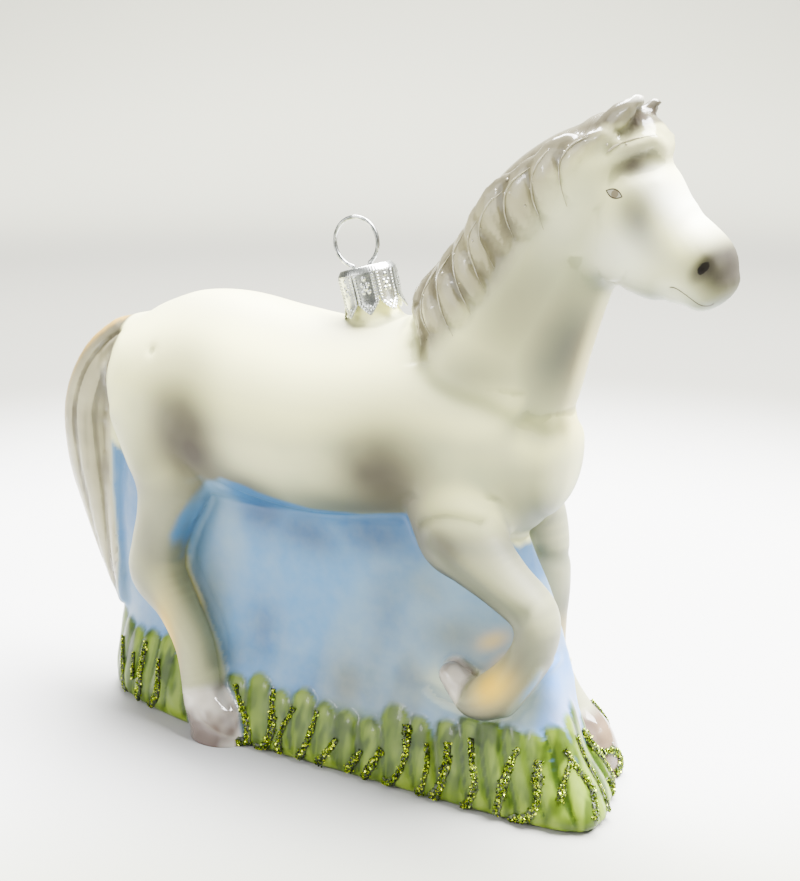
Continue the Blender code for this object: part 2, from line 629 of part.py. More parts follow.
def make_hanger():
    """The wire hanger: a round loop whose two legs go through the cap and spring in the spout."""
    opening = math.asin(LOOP_SPREAD / LOOP_RADIUS)
    turns = np.linspace(-math.pi / 2 + opening, 1.5 * math.pi - opening, LOOP_POINTS)
    loop = np.column_stack((
        LOOP_CENTRE[0] + LOOP_RADIUS * np.cos(turns),
        LOOP_CENTRE[1] + LOOP_RADIUS * np.sin(turns),
    ))
    legs = {}
    for side in (-1, 1):
        x = wire_foot(side)
        legs[side] = [(x + side * LOOP_LEG_SPRING, LOOP_LEG_FOOT), (x + side * LOOP_LEG_SPRING * 0.6, -3.0),
                      (x, -0.9), (x, -0.2)]
    route = legs[1] + [tuple(point) for point in loop] + legs[-1][::-1]

    curve = bpy.data.curves.new("hanger", "CURVE")
    curve.dimensions = "3D"
    curve.bevel_depth = WIRE_RADIUS * MM
    curve.bevel_resolution = 2
    curve.use_fill_caps = True
    spline = curve.splines.new("POLY")
    spline.points.add(len(route) - 1)
    for point, (x, z) in zip(spline.points, route):
        point.co = (x * MM, 0, z * MM, 1)
    hanger = on_cap(bpy.data.objects.new("hanger", curve))
    bpy.context.scene.collection.objects.link(hanger)
    settle_curve(hanger)


def settle_curve(wire):
    """Turn the hanger's curve into a mesh piece."""
    bpy.context.view_layer.update()
    graph = bpy.context.evaluated_depsgraph_get()
    mesh = bpy.data.meshes.new_from_object(wire.evaluated_get(graph))
    bm = bmesh.new()
    bm.from_mesh(mesh)
    bmesh.ops.remove_doubles(bm, verts=bm.verts, dist=WIRE_RADIUS * MM / 50)
    bm.to_mesh(mesh)
    bm.free()
    piece = on_cap(bpy.data.objects.new("hanger", mesh))
    bpy.context.scene.collection.objects.link(piece)
    remove(wire)
    finish_with(piece, "wire_hanger", WIRE_STEEL)


def main():
    for thing in list(bpy.data.objects):
        bpy.data.objects.remove(thing)
    part_glass(fused_glass())
    make_spout()
    make_cap()
    make_hanger()
    for thing in bpy.data.objects:
        thing.location.x -= DRAWN_MIDDLE * MM


main()
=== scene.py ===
import math

import bmesh
import bpy
import numpy as np
from mathutils import Matrix, Vector
from mathutils.bvhtree import BVHTree


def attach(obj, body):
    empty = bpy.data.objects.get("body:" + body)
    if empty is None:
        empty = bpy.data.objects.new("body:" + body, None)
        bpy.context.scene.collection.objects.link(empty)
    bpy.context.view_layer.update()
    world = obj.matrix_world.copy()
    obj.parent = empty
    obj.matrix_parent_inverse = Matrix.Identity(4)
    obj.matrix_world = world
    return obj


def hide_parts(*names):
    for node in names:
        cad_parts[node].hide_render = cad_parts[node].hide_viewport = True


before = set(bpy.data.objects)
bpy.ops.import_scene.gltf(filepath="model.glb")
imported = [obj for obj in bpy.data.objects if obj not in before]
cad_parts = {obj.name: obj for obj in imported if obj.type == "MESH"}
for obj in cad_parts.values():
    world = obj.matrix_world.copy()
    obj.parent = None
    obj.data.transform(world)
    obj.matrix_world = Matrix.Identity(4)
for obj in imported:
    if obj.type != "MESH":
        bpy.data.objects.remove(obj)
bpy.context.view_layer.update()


# The look of a blown glass horse ornament. Shapes are drawn in millimetres in side view, as the
# solids are: x towards the horse's head, z up, y across, and the near side, its right, is -y.
# A pair named for a range gives where something starts and where it is full, and is read by ramp.
MM = 0.001
PER_METRE = 1000.0
DRAWN_MIDDLE = 0.6          # x in the drawing of the middle of the object's box
NEAR, FAR = -1, 1

# ---- driving dimensions (mm) -------------------------------------------------------------------
BASE_FRONT = 57.0
BASE_BACK = -57.2
BASE_HALF_WIDTH = 17.0
PANEL_HALF_WIDTH = 9.0
BASE_MIDDLE = (BASE_FRONT + BASE_BACK) / 2
BASE_HALF_LENGTH = (BASE_FRONT - BASE_BACK) / 2
SQUARE_FRONT_NEAR = 9.0     # how square the base is in plan; 2 is an ellipse
SQUARE_FRONT_FAR = 2.2
SQUARE_BACK = 2.4
FRONT_SLANT = 0.25          # the base's front edge runs back as it goes to the far side
SLANT_FROM = -9.0           # y where the slant starts
SLANT_LENGTH = (20, 52)
SLANT_HEIGHT = (26, 10)
SKIN_VOXEL = 0.67           # grid that fuses the blown shapes
LOFT_SIDES = 72
TRUNK_SIDES = 120
CHEEK_SIDES = 40
SMALL_SIDES = 32
LOCK_SIDES = 28
PANEL_SIDES = 240
PANEL_STEPS = 5

# ---- blown shapes: x, z, half depth in the side view, half width across, y of the middle ----------
TRUNK = (
    (-53.0, 65.5, 7.0, 6.5, 0.0),
    (-49.5, 65.6, 12.4, 10.8, 0.0),
    (-44.0, 65.2, 16.6, 14.4, 0.0),
    (-36.0, 64.8, 19.6, 16.6, 0.0),
    (-26.0, 65.0, 20.6, 17.6, 0.0),
    (-14.0, 64.0, 20.0, 17.8, 0.0),
    (-2.0, 63.6, 19.2, 17.8, 0.0),
    (10.0, 64.9, 18.5, 17.3, 0.0),
    (20.0, 66.2, 18.2, 16.4, 0.0),
    (30.0, 64.8, 17.4, 14.8, 0.0),
    (36.6, 62.0, 15.4, 12.2, 0.0),
    (41.4, 61.4, 10.6, 9.2, 0.0),
)
NECK = (
    (27.0, 72.5, 16.0, 13.0, 0.0),
    (29.6, 78.2, 16.6, 11.8, 0.0),
    (33.6, 86.8, 15.0, 10.2, 0.0),
    (37.2, 94.4, 13.8, 9.2, 0.0),
    (40.7, 101.3, 13.0, 8.7, 0.0),
    (45.7, 107.6, 10.9, 8.3, 0.0),
    (50.6, 112.6, 8.0, 7.4, 0.0),
)
HEAD = (
    (51.2, 112.8, 6.2, 6.6, 0.0),
    (53.4, 107.8, 8.0, 7.9, 0.0),
    (56.1, 101.5, 8.9, 8.3, 0.0),
    (60.0, 98.6, 8.4, 7.5, 0.0),
    (63.4, 97.1, 7.0, 6.8, 0.0),
    (66.0, 95.1, 6.4, 6.2, 0.0),
    (68.0, 92.9, 4.5, 5.0, 0.0),
)
FORELOCK = (
    (49.5, 118.0, 2.2, 3.6, 0.0),
    (53.6, 118.0, 2.7, 4.6, 0.0),
    (57.0, 116.0, 2.4, 4.2, 0.0),
    (58.3, 112.4, 1.6, 3.0, 0.0),
)
TAIL = (
    (-46.0, 77.4, 3.0, 4.0, 0.0),
    (-52.0, 74.6, 4.6, 4.8, 0.0),
    (-58.6, 67.8, 6.2, 5.2, 0.0),
    (-62.9, 58.4, 7.1, 5.0, 0.0),
    (-63.0, 48.0, 7.0, 4.8, 0.0),
    (-61.0, 38.5, 6.0, 4.4, 0.0),
    (-59.2, 30.0, 4.5, 4.0, 0.0),
    (-58.0, 23.0, 2.9, 3.3, 0.0),
    (-57.0, 17.0, 1.8, 2.5, 0.0),
)
RIGHT_HIND = (
    (-38.0, 64.0, 12.0, 6.5, -9.5),
    (-34.0, 54.5, 10.4, 6.6, -10.8),
    (-33.4, 48.0, 8.0, 6.2, -11.4),
    (-35.0, 42.0, 6.0, 5.7, -11.9),
    (-37.0, 36.0, 5.4, 5.2, -12.2),
    (-37.2, 30.5, 5.8, 5.0, -12.6),
    (-32.2, 24.5, 3.9, 4.4, -13.2),
    (-28.2, 18.0, 3.6, 4.0, -13.8),
    (-26.2, 12.0, 3.8, 4.1, -14.4),
    (-24.6, 7.0, 4.5, 4.7, -14.8),
    (-22.0, 2.6, 6.0, 5.4, -14.8),
    (-21.0, -2.2, 6.8, 5.6, -14.6),
)
LEFT_HIND = (
    (-40.0, 64.0, 12.0, 6.5, 9.5),
    (-39.0, 54.0, 10.8, 6.6, 10.8),
    (-43.2, 44.5, 7.0, 6.0, 11.6),
    (-47.0, 37.0, 5.6, 5.0, 12.0),
    (-48.6, 30.5, 5.5, 4.9, 12.4),
    (-47.4, 23.0, 4.7, 4.4, 13.0),
    (-45.4, 15.5, 4.4, 4.2, 13.8),
    (-43.4, 10.0, 4.4, 4.5, 14.4),
    (-40.6, 6.0, 4.9, 5.0, 14.8),
    (-37.6, 2.2, 6.0, 5.4, 14.8),
    (-36.6, -2.2, 6.6, 5.6, 14.6),
)
RIGHT_FORE = (
    (26.5, 57.0, 8.0, 6.0, -8.6),
    (28.6, 50.4, 9.0, 6.0, -10.8),
    (33.6, 46.0, 6.3, 5.6, -12.0),
    (38.9, 42.2, 4.6, 5.1, -12.8),
    (44.5, 38.0, 4.0, 4.8, -13.3),
    (44.8, 32.6, 3.7, 4.6, -13.4),
    (41.6, 26.8, 3.6, 4.3, -13.4),
    (37.3, 21.8, 4.1, 4.3, -13.3),
    (33.6, 20.0, 3.6, 3.8, -13.0),
    (30.6, 21.2, 2.8, 3.2, -12.4),
    (28.0, 23.0, 2.2, 2.6, -11.8),
)
LEFT_FORE = (
    (27.6, 60.0, 9.5, 6.5, 8.5),
    (32.0, 49.5, 7.4, 6.0, 10.0),
    (34.8, 41.0, 5.6, 5.2, 10.2),
    (35.4, 34.0, 5.4, 4.9, 10.0),
    (35.2, 28.0, 5.2, 4.7, 9.8),
    (35.8, 20.5, 4.9, 4.3, 9.6),
    (38.4, 14.0, 5.0, 4.4, 9.6),
    (41.8, 9.0, 5.2, 4.8, 9.6),
    (45.2, 4.6, 6.0, 5.4, 9.4),
    (46.8, -2.2, 6.4, 5.8, 9.2),
)
JAW = (
    (49.6, 98.0, 4.8, 5.2, 0.0),
    (54.4, 97.3, 4.9, 5.8, 0.0),
    (59.0, 97.0, 4.5, 5.4, 0.0),
    (62.6, 95.8, 4.4, 4.8, 0.0),
)
TAIL_WEB = (
    (-54.0, 68.0, 4.0, 3.6, 0.0),
    (-55.4, 58.0, 4.2, 3.6, 0.0),
    (-55.8, 48.0, 4.2, 3.8, 0.0),
    (-55.6, 38.0, 4.2, 4.4, 0.0),
    (-54.8, 28.0, 3.6, 5.2, 0.0),
    (-53.6, 19.0, 2.6, 6.0, 0.0),
)
# Small swellings of the head, with the near side's y turned positive.
EAR = ((50.6, 114.6, 4.0, 2.8, 4.6), (52.8, 118.1, 3.4, 2.5, 4.3), (54.6, 120.4, 2.5, 2.0, 4.1),
       (55.4, 121.9, 1.2, 1.2, 4.0))
FAR_EAR_DROP = 0.9
FRINGE = ((51.2, 112.8, 0.5, 0.6, 6.6), (53.4, 113.9, 1.0, 1.1, 6.3), (55.8, 115.2, 1.3, 1.5, 5.2),
          (57.8, 115.8, 1.4, 1.9, 3.4), (58.7, 114.6, 1.3, 2.1, 1.2))
BROW = ((54.6, 110.0, 1.5, 1.5, 6.2), (58.6, 109.3, 1.6, 1.6, 4.6))
CHEEK = ((52.0, 100.4, 6.0, 2.0, 6.3), (55.0, 97.8, 5.6, 2.0, 6.1))
NOSTRIL_WING = ((67.0, 98.6, 1.9, 1.3, 4.4), (68.4, 96.6, 1.9, 1.3, 4.1))
# Panel and base, stacked upwards: z, back end, front end, half width.
PANEL = (
    (-1.2, BASE_BACK + 3.4, BASE_FRONT - 3.6, BASE_HALF_WIDTH - 3.2),
    (0.2, BASE_BACK + 1.0, BASE_FRONT - 1.2, BASE_HALF_WIDTH - 1.0),
    (1.6, BASE_BACK, BASE_FRONT, BASE_HALF_WIDTH),
    (5.0, BASE_BACK - 0.2, BASE_FRONT - 1.6, BASE_HALF_WIDTH - 0.9),
    (10.0, BASE_BACK + 0.4, BASE_FRONT - 5.0, BASE_HALF_WIDTH - 3.4),
    (16.0, BASE_BACK + 0.9, BASE_FRONT - 7.6, PANEL_HALF_WIDTH + 2.0),
    (24.0, BASE_BACK + 0.9, BASE_FRONT - 11.2, PANEL_HALF_WIDTH + 0.4),
    (36.0, BASE_BACK + 1.0, BASE_FRONT - 15.2, PANEL_HALF_WIDTH),
    (43.0, BASE_BACK + 2.0, BASE_FRONT - 18.6, PANEL_HALF_WIDTH),
    (50.0, BASE_BACK + 3.0, BASE_FRONT - 22.0, PANEL_HALF_WIDTH),
    (60.0, BASE_BACK + 4.0, BASE_FRONT - 29.0, PANEL_HALF_WIDTH - 1.0),
)
# Lines between the near side's locks of mane, from the ears back, each from the crest down (x, z).
MANE_LINES = (
    ((53.4, 116.8), (51.4, 114.8), (50.2, 112.2), (49.4, 109.8), (49.2, 107.4), (49.4, 105.6)),
    ((49.1, 116.5), (46.5, 115.1), (45.0, 112.6), (45.0, 110.4), (45.4, 108.2), (46.1, 105.6)),
    ((42.8, 114.4), (41.1, 111.9), (40.3, 109.3), (40.5, 106.7), (41.3, 104.2), (42.2, 101.8)),
    ((39.7, 111.5), (36.9, 109.3), (35.7, 107.2), (35.5, 104.6), (36.2, 102.0), (37.3, 99.5)),
    ((35.0, 107.6), (32.5, 105.4), (31.1, 102.5), (31.1, 99.9), (32.3, 97.7), (33.8, 95.1)),
    ((30.7, 103.2), (29.2, 100.5), (29.3, 97.9), (30.2, 95.4), (31.2, 93.3), (32.6, 91.0)),
    ((27.4, 100.4), (26.0, 97.3), (26.4, 94.6), (27.4, 92.0), (28.8, 89.4), (30.2, 87.2)),
    ((24.8, 96.6), (23.2, 93.4), (23.6, 90.4), (24.4, 87.8), (25.6, 85.4), (27.2, 83.4)),
    ((21.8, 93.9), (20.4, 91.0), (19.9, 88.6), (20.3, 86.4), (21.2, 84.6), (22.6, 83.0)),
    ((18.2, 92.0), (16.8, 89.6), (16.4, 87.6), (16.8, 85.8), (17.6, 84.4), (18.8, 83.2)),
)
# Locks on the far side, down from the crest: four places (x, z), then the lock's half width.
FAR_LOCKS = (
    ((49.8, 117.0), (47.0, 115.2), (46.0, 112.0), (47.0, 107.8), 2.4),
    ((45.6, 116.0), (42.6, 114.0), (41.2, 110.4), (42.4, 105.4), 2.6),
    ((41.0, 114.4), (37.4, 111.8), (35.8, 107.8), (37.4, 102.4), 3.0),
    ((34.2, 109.6), (30.4, 106.2), (29.4, 101.8), (31.8, 96.4), 3.1),
    ((27.2, 102.0), (24.0, 98.4), (23.8, 93.8), (26.8, 87.6), 2.8),
    ((21.2, 95.2), (18.4, 91.8), (18.6, 87.6), (22.0, 82.0), 2.4),
)
# A far lock's share of its half width, its half thickness and its lift off the neck, per place.
FAR_LOCK_SIZES = ((0.55, 1.8, 0.0), (0.85, 2.0, 0.3), (0.9, 1.6, 0.0), (0.45, 0.7, -0.5))
# A near lock's share of the gap between its lines, its half thickness and its lift, per place.
NEAR_LOCK_SIZES = ((0.30, 1.3, 0.3), (0.48, 1.9, 0.4), (0.57, 2.2, 0.3), (0.57, 1.9, 0.0), (0.56, 1.3, -0.4),
                   (0.5, 0.6, -0.6))
FAR_LOCK_ROOT = 2.4         # how far from the parting plane a far lock starts
FRINGE_LINE = ((51.9, 114.0), (53.4, 115.2), (56.0, 116.2), (58.6, 116.8))
# How far outside the glass a line starts that looks for it.
CLEAR_OF_GLASS = 40
CLEAR_OF_BASE = 12
RUN_RADIUS = 0.17
RUN_PLACES = 64
RUN_SHORTEST = 12           # places below which a run is left out
RUN_JUMP = 1.6              # a longer step than this has left the lock
RUN_DROPS = 3
# Blades of grass along the unrolled edge of the base: foot, tip, tip's height, half width.
NEAR_BLADES = (
    (-60.0, -57.5, 17.8, 3.0), (-54.4, -52.6, 16.0, 2.6), (-49.4, -47.8, 15.4, 2.5),
    (-44.0, -43.4, 15.8, 2.8), (-38.4, -37.4, 16.4, 2.7), (-33.0, -32.6, 14.2, 2.7),
    (-27.6, -27.2, 13.2, 2.6), (-22.0, -22.8, 13.4, 2.7), (-16.6, -17.6, 13.0, 3.0),
    (-11.0, -11.6, 14.2, 2.9), (-5.6, -5.6, 12.2, 2.6), (-0.6, 0.0, 13.6, 2.9),
    (4.4, 5.0, 12.2, 2.6), (9.2, 10.4, 11.8, 2.6), (14.2, 15.6, 11.6, 2.7),
    (20.0, 21.6, 14.8, 3.3), (26.2, 26.8, 13.8, 2.7), (31.2, 33.2, 14.4, 2.8),
    (36.2, 38.4, 16.0, 2.6), (41.0, 42.4, 16.4, 2.5), (46.4, 46.6, 15.8, 2.8),
    (52.0, 51.0, 15.6, 2.8), (57.6, 55.4, 17.2, 2.8), (63.0, 60.2, 18.6, 2.7),
    (68.4, 65.0, 19.6, 2.6),
)
FAR_BLADE_COUNT = 24
FAR_BLADE_ENDS = (-60, 62)
FAR_BLADE_TOP = 14.2
FAR_BLADE_RISE = 2.2        # how much taller the blades are at the ends
# Where the mane ends towards the neck's front and towards the back: height, x.
MANE_FRONT = ((76.0, 22.5), (82.0, 27.0), (87.0, 31.0), (93.0, 36.5), (99.0, 40.5), (105.0, 44.5),
              (110.0, 47.0), (113.0, 50.5), (116.0, 54.5), (124.0, 58.0))
MANE_BACK = ((74.0, 22.0), (78.0, 20.4), (81.4, 19.0), (84.6, 17.6), (88.0, 15.0), (92.0, 12.0))
# Lines of the relief: path (x, z), width, height (sunk when below zero).
CREASES = (
    (((18.6, 82.6), (20.8, 79.4), (24.1, 75.8), (29.1, 73.7), (33.8, 72.6), (39.4, 70.0), (43.0, 67.8),
      (46.0, 69.6)), 1.5, -0.6),
    (((17.4, 88.0), (17.8, 84.6), (18.8, 81.4), (20.2, 78.0)), 1.0, -0.45),
    (((-22.6, 52.0), (-16.2, 49.2), (-9.3, 47.5), (-3.8, 47.0), (3.9, 47.5), (12.4, 48.8), (18.0, 49.6)),
     0.8, -0.35),
    (((54.0, 91.6), (50.2, 92.8), (48.0, 95.0), (47.2, 98.0)), 1.6, -0.3),
    (((56.6, 121.3), (56.2, 119.6), (55.0, 117.8), (53.2, 116.6)), 0.9, -1.3),
    (((21.5, 18.4), (24.2, 16.7), (29.6, 15.8), (35.4, 15.8), (38.6, 16.6), (41.2, 20.4), (45.2, 26.6),
      (47.4, 31.0)), 0.55, 0.55),
    (((21.8, 50.2), (24.0, 52.0), (27.6, 53.2), (31.4, 53.4), (35.6, 52.6)), 0.9, -0.4),
    (((24.4, 49.4), (29.0, 46.4), (33.4, 43.6), (37.4, 41.4), (42.0, 39.8), (46.0, 39.2)), 1.3, -0.35),
    (((-24.4, 49.6), (-28.8, 41.0), (-31.4, 34.0), (-29.0, 28.4), (-24.4, 21.0), (-22.0, 13.0)), 0.8, -0.4),
    (((62.4, 93.8), (64.4, 93.2), (65.9, 91.9), (67.2, 91.1), (68.2, 90.8), (68.9, 91.3)), 0.45, -0.22),
)
# Soft swellings: x, z, reach across, reach along, turn in degrees, height.
SWELLS = (
    (31.0, 62.0, 7.0, 12.0, 20, 0.5),
    (17.0, 55.0, 4.5, 5.0, 0, -0.5),
    (-27.5, 56.0, 6.0, 7.0, 0, 0.5),
    (-22.0, 63.0, 5.0, 8.0, 20, -0.6),
    (-38.0, 70.0, 9.0, 8.0, 0, 0.5),
    (-34.8, 75.4, 1.1, 1.0, 0, -0.35),
    (57.4, 111.9, 4.6, 1.5, 20, -0.8),
    (55.2, 120.9, 0.9, 0.8, 0, 0.45),
    (58.4, 104.8, 3.0, 3.6, 35, -0.5),
    (67.7, 97.0, 0.9, 1.2, -20, -0.8),
)
# Airbrushed spots on both sides: x, z, reach across and along, turn in degrees, strength.
AMBER_SPOTS = (
    (50.0, 80.0, 2.4, 8.0, -16, 0.9),
    (47.6, 72.0, 2.2, 4.5, -16, 0.6),
    (-31.6, 18.0, 2.2, 8.0, 6, 0.8),
    (38.6, 25.0, 4.2, 2.6, 40, 1.0),
    (34.8, 29.6, 3.4, 1.7, 30, 0.5),
    (50.0, 12.0, 2.2, 8.0, 20, 0.4),
)
# Grey smoke airbrushed on the flank and elbow; the other spots are painted shade: on the legs, the neck, by
# the eye, under the fringe and over the ear.
SMOKE_AND_SHADE_SPOTS = (
    (-26.0, 60.6, 9.6, 13.0, 14, 1.0),
    (-26.6, 69.0, 9.0, 12.0, 12, 0.45),
    (16.6, 58.2, 10.8, 11.4, -20, 0.95),
    (29.0, 48.6, 4.4, 2.4, -25, 0.6),
    (42.4, 30.8, 2.6, 5.0, -20, 0.45),
    (-27.6, 47.0, 2.6, 6.0, 0, 0.3),
    (-36.0, 37.0, 3.4, 8.0, 0, 0.3),
    (38.0, 87.0, 8.0, 12.0, -24, 0.3),
    (57.0, 105.4, 2.6, 3.4, 0, 0.35),
    (56.6, 112.6, 4.6, 1.9, 20, 1.0),
    (52.0, 118.0, 2.6, 3.2, -20, 0.4),
)
# Painted highlights, where the glass is painted whiter for the light on forehead, cheek, jaw and neck,
# and painted shade, where it is painted dimmer on neck, face, chest, hind leg and under the belly.
HIGHLIGHT_SPOTS = (
    (62.6, 106.6, 2.8, 8.0, 46, 1.0),
    (55.6, 98.4, 5.4, 5.0, 0, 0.8),
    (63.0, 93.0, 4.2, 2.4, -30, 0.45),
    (45.0, 103.0, 4.0, 6.0, -25, 0.25),
)
SHADE_SPOTS = (
    (46.0, 82.0, 6.5, 13.0, -18, 1.0),
    (37.0, 90.0, 8.0, 12.0, -24, 0.6),
    (57.8, 104.4, 3.0, 5.0, 30, 0.85),
    (30.0, 77.0, 9.0, 6.0, 0, 0.75),
    (-36.0, 52.0, 7.0, 9.0, 0, 0.7),
    (-14.0, 52.0, 7.0, 3.4, -12, 0.8),
    (6.0, 51.0, 10.0, 3.0, 0, 0.5),
    (40.0, 57.0, 6.0, 8.0, 0, 0.6),
)
# Brush patches on the sky: deep blue, and grey haze.
DEEP_PATCHES = (
    (-13.6, 45.7, 6.0, 4.2, 0, 1.0),
    (-3.8, 42.8, 7.5, 3.8, -10, 1.0),
    (10.5, 45.0, 8.0, 4.2, 5, 1.0),
    (-14.3, 21.6, 4.2, 6.5, 0, 0.75),
    (13.4, 31.3, 3.8, 10.0, 0, 0.5),
    (19.0, 19.4, 3.6, 2.0, 0, 1.0),
    (46.0, 19.0, 3.4, 11.0, 0, 0.6),
    (39.7, 43.1, 3.0, 4.0, 0, 0.7),
    (21.0, 44.0, 4.0, 4.0, 0, 0.5),
)
HAZY_PATCHES = (
    (5.7, 15.2, 4.6, 5.4, 0, 0.9),
    (27.4, 29.2, 6.5, 4.0, 15, 0.8),
    (41.1, 22.5, 3.5, 4.5, 0, 0.6),
    (-27.0, 28.0, 4.6, 10.0, 0, 0.6),
    (21.3, 36.9, 5.0, 3.5, -30, 0.45),
    (-22.0, 14.0, 4.0, 5.0, 0, 0.5),
)
# Places where one blown form flows into the next, as spots.
MELTS = (
    (49.8, 110.0, 3.4, 6.0, 0, 1.5),
    (48.8, 101.5, 3.6, 7.0, 0, 1.5),
    (49.0, 94.8, 3.0, 3.0, 0, 1.5),
    (27.5, 59.0, 8.5, 6.0, 0, 1.5),
    (33.0, 52.5, 9.0, 4.0, 0, 1.5),
    (22.5, 51.0, 4.0, 5.0, 0, 1.5),
    (-35.0, 60.0, 11.0, 6.5, 0, 1.5),
    (20.0, 80.5, 6.0, 4.0, 0, 1.5),
    (-53.0, 72.0, 5.0, 5.0, 0, 1.5),
    (-48.5, 79.5, 6.0, 4.0, 0, 1.5),
)
MELT_ROUNDS = 90
FACING_ROUNDS = 12          # averaging that leaves only the broad form's direction
HOLLOW_ROUNDS = 10
HOLLOW_DEPTH = 0.24         # mm of hollow that count as wholly hollow
# Where the paint changes, as (height, x) or (x, height): the tail's front, the sky's edge on the near
# hind leg, and the belly's lower edge.
TAIL_FRONT = ((15.0, -54.6), (28.0, -54.2), (43.0, -55.6), (54.0, -55.6), (66.0, -54.0), (75.0, -50.4))
HIND_FRONT = ((14.0, -21.4), (22.0, -24.6), (26.0, -27.6), (30.0, -31.0), (34.0, -32.6), (40.0, -31.6),
              (44.0, -29.6), (48.0, -26.8), (52.0, -23.6))
BELLY_EDGE = ((-27.0, 51.0), (-19.6, 53.6), (-11.8, 51.2), (-1.6, 49.2), (8.2, 49.2), (20.0, 51.2),
              (26.0, 53.0))
LEDGE = (32.0, 19.6, 8.5, 3.6)              # under the raised hoof, where the sky is thin
EAR_SHADE = (55.7, 119.0, 1.4, 2.8, -25)
MUZZLE_SPOT = (71.0, 97.2, 6.8, 7.4)
SKY_RISE = (62, 55)
SKY_EDGE = (0.1, 1.3)
GRASS_RISE = (21, 17)
GRASS_FILLED = (13.0, 9.5)
EAR_RISE = (117.6, 118.8)
EAR_REACH = (48.5, 50.5)
EAR_TIP_RISE = (121.5, 122.6)
FRINGE_RISE = (112.0, 113.6)
FRINGE_REACH = (49.0, 52.0)
FRINGE_SLOPE = 0.35
TAIL_RISE = (16, 22)
MANE_RISE = (75.5, 79.0)
RELIEF_SIDE = (1.0, 5.0)                    # distance from the parting plane
# Hooves: x, z, reach across and along, turn, side.
HOOVES = (
    (-22.0, 2.6, 9.5, 8.4, 0, NEAR),
    (28.4, 22.4, 3.6, 4.8, 0, NEAR),
    (-37.0, 2.6, 9.5, 8.4, 0, FAR),
    (47.0, 3.4, 9.0, 8.2, 0, FAR),
)
HOOF_EDGE = (0.28, 0.5)
HOOF_SIDE = 3.0                             # least distance from the parting plane
EYE = (53.6, 107.9)
EYE_TILT = math.radians(18)
EYE_HALF_LENGTH = 1.42
EYE_HALF_HEIGHT = 0.68
IRIS_EDGE = (0.66, 0.54)
IRIS_FORWARD = 0.1
BRUSH_LINE = (0.15, 0.07)
NOSTRIL = (67.7, 97.0)
NOSTRIL_LEAN = 0.45
NOSTRIL_WIDTH = 0.74
# The mouth's line: where it starts, and its height as a cubic of the distance from there.
LIP_START = 62.6
LIP_HEIGHT = 93.7
LIP_CUBIC = (0.3185, -0.4203, 0.04886)
LIP_LENGTH = 6.6

# ---- cap and hanger, about the cap's own axis ------------------------------------------------------
CAP_TOP = (3.6, 92.3)
CAP_LEAN = math.radians(15)
CAP_RADIUS = 5.35
CAP_DISC_RADIUS = 4.45
CAP_CHAMFER = 1.2
CAP_HEIGHT = 8.7
CAP_PETALS = 8
CAP_PETAL_HALF = 1.92
CAP_POINT = 2.2
CAP_FLARE = 3.4                             # height above the hem where the petals start to flare
CAP_SHEET = 0.22                            # thickness
BEAD_RADIUS = 0.26
BEAD_STEP = 0.55
BEAD_INSET = 0.32
PETAL_COLUMNS = 44
PETAL_ROWS = 60
DISC_SIDES = 180
DISC_BEADS = 30
DISC_BEAD_RADIUS = 0.24
DISC_BEAD_RING = 3.6
DISC_EDGE = 0.3                             # width of the disc's raised edge
SLEEVE_RIBS = 64
# The spout under the cap: radius, height.
SPOUT = ((0.6, -1.2), (3.9, -1.1), (4.15, -1.6), (4.15, -6.2), (4.25, -8.4), (4.6, -9.6), (5.6, -10.8),
         (6.2, -13.0))
SPOUT_SIDES = 48
WIRE_RADIUS = 0.38
LOOP_CENTRE = (-0.8, 4.5)
LOOP_RADIUS = 4.5
LOOP_SPREAD = 1.8

